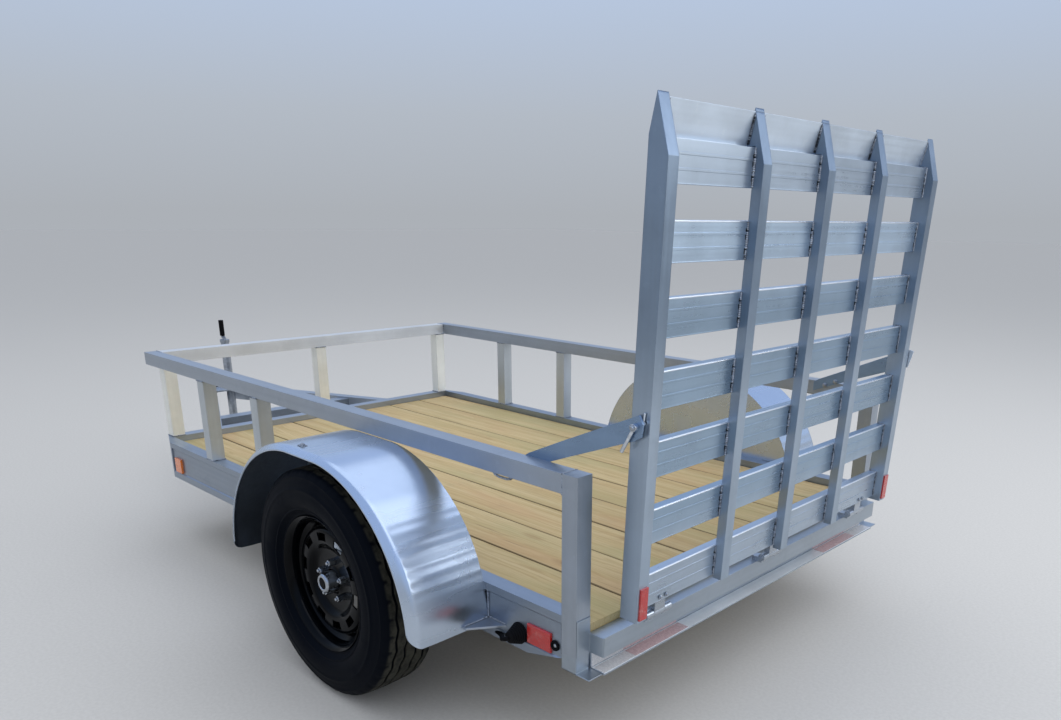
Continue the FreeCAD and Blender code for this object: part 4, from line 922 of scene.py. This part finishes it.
def frame_welds():
    """Beads round the feet and heads of the posts, at the rail corners and along the frame."""
    shape = Shape()

    def level_bead(start, end, z, radius):
        """A bead at one height from (x, y) to (x, y), y outwards."""
        shape.weld((start[0], sign * start[1], z), (end[0], sign * end[1], z), radius)

    front = BED_LENGTH - TUBE
    for sign in (1, -1):
        for x in SIDE_POSTS_X:
            weld_post(shape, x, INSIDE if sign > 0 else -BED_HALF)
        # Rail against the rear post and the front rail
        for y in (INSIDE + 1, BED_HALF - 1):
            shape.weld_up(TUBE + 0.8, sign * y, RAIL_LOW - 0.5, RAIL_TOP - 1, 2.2)
        level_bead((TUBE, INSIDE), (TUBE, BED_HALF), RAIL_TOP, 1.9)
        level_bead((TUBE + 1, INSIDE), (TUBE + 1, BED_HALF), RAIL_LOW - 1, 2.4)
        level_bead((front, INSIDE), (BED_LENGTH, INSIDE), RAIL_TOP, 1.9)
        shape.weld_up(front - 0.6, sign * (INSIDE - 0.6), RAIL_LOW, RAIL_TOP, 2.4)
        # Rear post against the side rail and the sill, then the front corner
        for x, y, low, high, radius in ((TUBE + 1, WEB_Y + 1, 330, FRAME_TOP, 2.6),
                                        (0.5, INSIDE - 0.8, SILL_BOX_LOW, SILL_BOX_TOP, 2.4),
                                        (-1, INSIDE + 1, SILL_BOX_LOW, SILL_BOX_TOP, 2.4),
                                        (BED_LENGTH - 134, WEB_Y + 2, 290, FRAME_TOP, 2.2)):
            shape.weld_up(x, sign * y, low, high, radius)
        # Fender legs against the rail, and the brackets
        for end in (-1, 1):
            x = WHEEL[0] + end * (FENDER_HALF + 1)
            shape.weld_up(x, sign * (WEB_Y + 2), 338, FRAME_TOP - 4, 2.8)
            level_bead((x + end * 4, WEB_Y + 1), (x + end * 66, WEB_Y + 1), BRACKET_TOP, 2.6)
            level_bead((x, WEB_Y + 8), (x, BED_HALF + 80), BRACKET_TOP, 2.4)
        for x in range(420, 1260, 140):
            level_bead((x, BED_HALF + 1), (x + 38, BED_HALF + 1), FRAME_TOP, 2.6)
    for y in (INSIDE - TUBE, -TUBE / 2, -INSIDE):
        weld_post(shape, front, y)
    shape.make("frame_welds", WELD)


# Plates that close the rear corners
def corner_plates():
    """Caps on the sill's ends and closing plates under the rear posts."""
    shape = Shape()
    for sign in (1, -1):
        for low, high, ease in (
                ((-47.8, INSIDE + 0.2, SILL_BOX_LOW - 0.6), (-0.4, INSIDE + 3.2, SILL_BOX_TOP - 0.2), 1.2),
                ((-2.6, INSIDE + 1.0, 336.0), (-0.2, BED_HALF - 1.0, FRAME_TOP - 2.0), 1.0),
                ((0.3, WEB_Y - 0.2, FRAME_BOTTOM), (TUBE, BED_HALF - 1.2, 334.6), 1.0),
                ((0.3, INSIDE + 0.4, FRAME_BOTTOM), (3.3, WEB_Y - 0.4, 334.0), 1.0),
                ((-44.0, INSIDE + 0.4, FRAME_BOTTOM), (52.0, BED_HALF - 1.2, 291.6), 0.8)):
            near, far = sorted((sign * low[1], sign * high[1]))
            shape.block((low[0], near, low[2]), (high[0], far, high[2]), ease)
    shape.make("corner_plates", SILL)


def rail_loops():
    """A loop under each top rail for lashing, and a clip on the crown of each fender."""
    shape = Shape()
    for sign in (1, -1):
        y = sign * (BED_HALF - 7)
        half_loop = ((-36, RAIL_LOW + 1), (-29, RAIL_LOW - 5.5), (-15, RAIL_LOW - 9))
        path = [(LOOP_X + x, y, z) for x, z in half_loop]
        path += [(LOOP_X - x, y, z) for x, z in reversed(half_loop)]
        shape.tube(path, 3.4, 12)
        for x in (LOOP_X - 32, LOOP_X + 32):
            shape.weld((x - 5, y, RAIL_LOW - 0.8), (x + 5, y, RAIL_LOW - 0.8), 3.2)
        clip = (865, sign * (FENDER_OUTSIDE - 44), FENDER_TOP + 0.2)
        shape.block((clip[0] - 11, clip[1] - 9, clip[2]), (clip[0] + 11, clip[1] + 9, clip[2] + 2.2), 0.6)
        shape.lathe((clip[0], clip[1], clip[2] + 2), ((0.01, 5.0), (4.4, 5.0), (6.2, 3.6), (6.4, 0.0)),
                    "z", 1, 24)
    shape.make("rail_loops", WELD)


# Tapes, lamps and small fittings
def sill_tape():
    """Red and white reflective strips on the web and flange of the rear sill, at both ends, and a pale strip
    over the whole flange that paints the light on it.
    """
    gauge = 0.6
    tape_low = FLANGE_TOP + 0.8
    for name, material, near, far, finish in (
            ("red_strips", RED_TAPE, 384.0, 610.0, "red_lens"),
            ("white_strips", WHITE_TAPE, 611.0, INSIDE - 3, "mill_aluminium")):
        shape = Shape()
        for sign in (1, -1):
            low, high = sorted((sign * near, sign * far))
            shape.block((-4.5, low, tape_low + gauge), (-4.5 + gauge, high, 335.5), 0.2)
            shape.block((-47.0, low, tape_low), (-10.0, high, tape_low + gauge), 0.2)
        shape.make(name, material, "chassis", finish)
    # Painted light: a pale strip over the flange's top stands in for the light falling on it
    lit_flange_strip = Shape()
    lit_flange_strip.block((-49.4, 2 - INSIDE, FLANGE_TOP), (-5.0, INSIDE - 2, FLANGE_TOP + 0.7), 0.3)
    lit_flange_strip.make("flange_painted_light_strip", LIT_FLANGE)


def side_markers():
    """Red lamps near the rear with a raised lens, each in a thin base."""
    shape = Shape()
    for sign in (1, -1):
        rows = []
        for inset, out in ((0, 0), (0, 4.5), (1.6, 7.0), (5.0, 7.8)):
            back, front = MARKER_X[0] + inset, MARKER_X[1] - inset
            low, high = MARKER_Z[0] + inset, MARKER_Z[1] - inset
            rows.append([(x, sign * (WEB_Y + out), z)
                         for x, z in ((back, low), (front, low), (front, high), (back, high))])
        shape.loft(rows)
    shape.make("marker_lenses", RED, "chassis", "red_lens", stands_for="side_markers")


# Distance forwards and outwards from the boot, and height, of the rubber lead beside each marker
LEAD = ((0, 38, 330), (8, 44, 326), (26, 40, 318), (46, 22, 310), (66, 8, 304), (94, -2, 300))


def fittings():
    """Grommet rings with a bolt, and ribbed boots with a short lead beside the markers."""
    soft, metal = Shape(), Shape()
    for sign in (1, -1):
        at = (GROMMET[0], sign * WEB_Y, GROMMET[1])
        ring = [around(at, "y", 10.5, angle, sign * 2.5) for angle in circle(28)]
        soft.tube(ring, 4.0, 12, closed=True)
        metal.lathe(at, ((0.01, 4.4), (3.2, 4.3), (5.2, 3.2), (6.0, 0.5)), sign=sign, turns=24)
        # Ribbed boot where the lamp wires leave the rail
        ribs = [(30 - step * 1.2 + (2.0 if step % 2 else 0.0), step * 3.0) for step in range(15)]
        soft.lathe((BOOT[0], sign * (WEB_Y - 2), BOOT[1]), [(0.01, -2)] + ribs + [(0.01, 43)],
                   sign=sign, turns=28)
        soft.tube([(BOOT[0] + ahead, sign * (WEB_Y + out), z) for ahead, out, z in LEAD], 6.5, 12)
    soft.make("boots_and_grommets", RUBBER, "chassis", "black_rubber")
    metal.make("grommet_bolts", NUT, "chassis", "zinc_steel")


def bolt_head(shape, centre, axis, sign, radius, height):
    """Hexagon head on a washer, standing out along an axis."""
    washer = radius * 1.35
    shape.lathe(centre, ((0.01, 1.8), (radius * 1.25, 1.8), (washer, 0.9), (washer, 0)), axis, sign, 24)
    shape.hexagon(centre, axis, sign, radius, ((1.0, 1.6), (1.0, height - 1.2), (0.86, height)))


def gate_bolts():
    """Two bolts in the strap of each gate hinge."""
    shape = Shape()
    for middle in (HINGE_Y, 0.0, -HINGE_Y):
        for offset in (-12, 12):
            bolt_head(shape, (-28.6, middle + offset, 24), "x", -1, 4.6, 4.2)
    shape.make("gate_bolts", NUT, "gate", "zinc_steel")


# Rod behind each outer upright, and the outline of the fork on the right one, as (x, z)
KEEPER = ((-104, 689, 897), (-107, 689.5, 916), (-109, 689, 936), (-111, 688, 954))
FORK = ((-108, 950), (-128, 957), (-140, 953), (-134, 928), (-126, 898), (-118, 898))


def latch_bolts():
    """Bolts of the latch bars and the keeper behind each outer upright."""
    shape, plate = Shape(), Shape()
    for sign in (1, -1):
        bolt_head(shape, (-97, sign * 713.6, 922), "y", sign, 5.4, 5.0)
        plate.tube([(x, sign * y, z) for x, y, z in KEEPER], 2.4, 10)
        plate.lathe((-110, sign * 694.6, 930), ((0.01, 8.0), (3.6, 7.6), (4.6, 5.6), (4.6, 0.0)),
                    "y", -sign, 20)
        if sign < 0:
            plate.loft([[(x, y, z) for x, z in FORK] for y in (-687.6, -690.4)])
        for x, z in ((190, 788), (150, 806)):
            bolt_head(shape, (x, sign * 730, z), "y", -sign, 6.5, 5.0)
    shape.make("latch_bolts", NUT, "chassis", "zinc_steel")
    # The keepers in the pale copy: painted highlight
    plate.make("latch_keepers", PAINTED_HIGHLIGHT)


deck()
for side, sign in SIDES:
    fender(side, sign)
    tyre(side, sign)
    rim(side, sign)
    hub(side, sign)
gate_welds()
plank_lips()
frame_welds()
corner_plates()
rail_loops()
sill_tape()
side_markers()
fittings()
gate_bolts()
latch_bolts()


# Camera: the photograph's size, its optical axis and the focal length in its pixels, and the place in mm
PHOTO_WIDTH = 1061.0
PHOTO_HEIGHT = 720.0
AXIS_X = 588.93
AXIS_Y = 501.0
FOCAL_LENGTH = 846.139
SENSOR = 36.0
CAMERA_PLACE = (-1269.31, 2125.59, 1369.16)
CAMERA_YAW = radians(-47.3655)
CAMERA_PITCH = radians(-18.6757)
CAMERA_ROLL = radians(0.8499)


def camera():
    """The photograph's view."""
    level = cos(CAMERA_PITCH)
    forward = Vector((level * cos(CAMERA_YAW), level * sin(CAMERA_YAW), sin(CAMERA_PITCH)))
    right = Vector((sin(CAMERA_YAW), -cos(CAMERA_YAW), 0.0))
    up = right.cross(forward)
    c, s = cos(CAMERA_ROLL), sin(CAMERA_ROLL)
    turn = Matrix((c * right + s * up, c * up - s * right, -forward)).transposed()
    data = bpy.data.cameras.new("camera")
    data.sensor_fit = "HORIZONTAL"
    data.sensor_width = SENSOR
    data.lens = FOCAL_LENGTH / PHOTO_WIDTH * SENSOR
    data.shift_x = (PHOTO_WIDTH / 2 - AXIS_X) / PHOTO_WIDTH
    data.shift_y = (AXIS_Y - PHOTO_HEIGHT / 2) / PHOTO_WIDTH
    data.clip_start = 0.05
    data.clip_end = 400.0
    SCENE.camera = put("camera", data)
    SCENE.camera.matrix_world = Matrix.Translation(drawn(*CAMERA_PLACE)) @ turn.to_4x4()


# Floor, backdrop and lamps, in metres and watts
FLOOR_HALF = 60.0
# Share of the way up and tone there; the lowest tone is the far floor's
BACKDROP = (
    (0.0, (0.413, 0.438, 0.474)),
    (0.10, (0.45, 0.495, 0.56)),
    (0.34, (0.50, 0.65, 0.92)),
    (0.50, (0.47, 0.61, 0.92)),
    (0.80, (0.42, 0.58, 0.90)),
)
WORLD_COLOR = (0.93, 0.96, 1.0)
WORLD_STRENGTH = 0.80
LAMPS = (
    # name, place, target, sides, power and colour
    ("key", (-4.5, -0.8, 7.2), (-1.4, -0.8, 0.4), (10.0, 6.0), 180.0, (1.0, 1.0, 1.0)),
    ("fill", (1.6, -0.6, 7.4), (0.6, -0.6, 0.4), (10.0, 6.0), 110.0, (1.0, 1.0, 1.0)),
    ("warm", (-6.0, -3.0, 3.0), (0.0, 0.0, 0.6), (4.0, 2.5), 75.0, (1.0, 0.98, 0.94)),
)


def floor():
    """A wide pale floor under the part."""
    mesh = bpy.data.meshes.new("floor")
    corners = [(x * FLOOR_HALF, y * FLOOR_HALF, 0) for x, y in ((-1, -1), (1, -1), (1, 1), (-1, 1))]
    mesh.from_pydata(corners, [], [(0, 1, 2, 3)])
    mesh.materials.append(plain_floor("floor_paint"))
    item = put("floor", mesh)


def backdrop():
    """Even light from all round; camera, mirrors and glass see a backdrop that turns blue overhead."""
    g = Graph("studio", "worlds", "Generated")
    SCENE.world = g.holder
    path = g.node("ShaderNodeLightPath").outputs
    shown = g.math("MAXIMUM", path["Is Camera Ray"], path["Is Glossy Ray"])
    shown = g.math("MAXIMUM", shown, path["Is Transmission Ray"])
    ramp = g.node("ShaderNodeValToRGB", {0: g.separate(g.coords)[2]})
    stops = ramp.color_ramp.elements
    stops.remove(stops[1])
    stops[0].color = (*BACKDROP[0][1], 1)
    for height, color in BACKDROP[1:]:
        stops.new(height).color = (*color, 1)
    seen = g.node("ShaderNodeBackground", {"Color": ramp.outputs[0]})
    lit = g.node("ShaderNodeBackground", {"Color": WORLD_COLOR, "Strength": WORLD_STRENGTH})
    mix = g.node("ShaderNodeMixShader", {0: shown, 1: lit.outputs[0], 2: seen.outputs[0]})
    g.node("ShaderNodeOutputWorld", {0: mix.outputs[0]})


def lamps():
    """Three broad lamps, each turned to its target."""
    for name, place, target, sides, power, color in LAMPS:
        data = bpy.data.lights.new(name, "AREA")
        data.shape = "RECTANGLE"
        data.size, data.size_y = sides
        data.energy = power
        data.color = color
        item = put(name, data)
        item.location = place
        item.rotation_mode = "QUATERNION"
        item.rotation_quaternion = (Vector(target) - Vector(place)).to_track_quat("-Z", "Y")


camera()
floor()
backdrop()
lamps()

SCENE.view_settings.view_transform = "Standard"
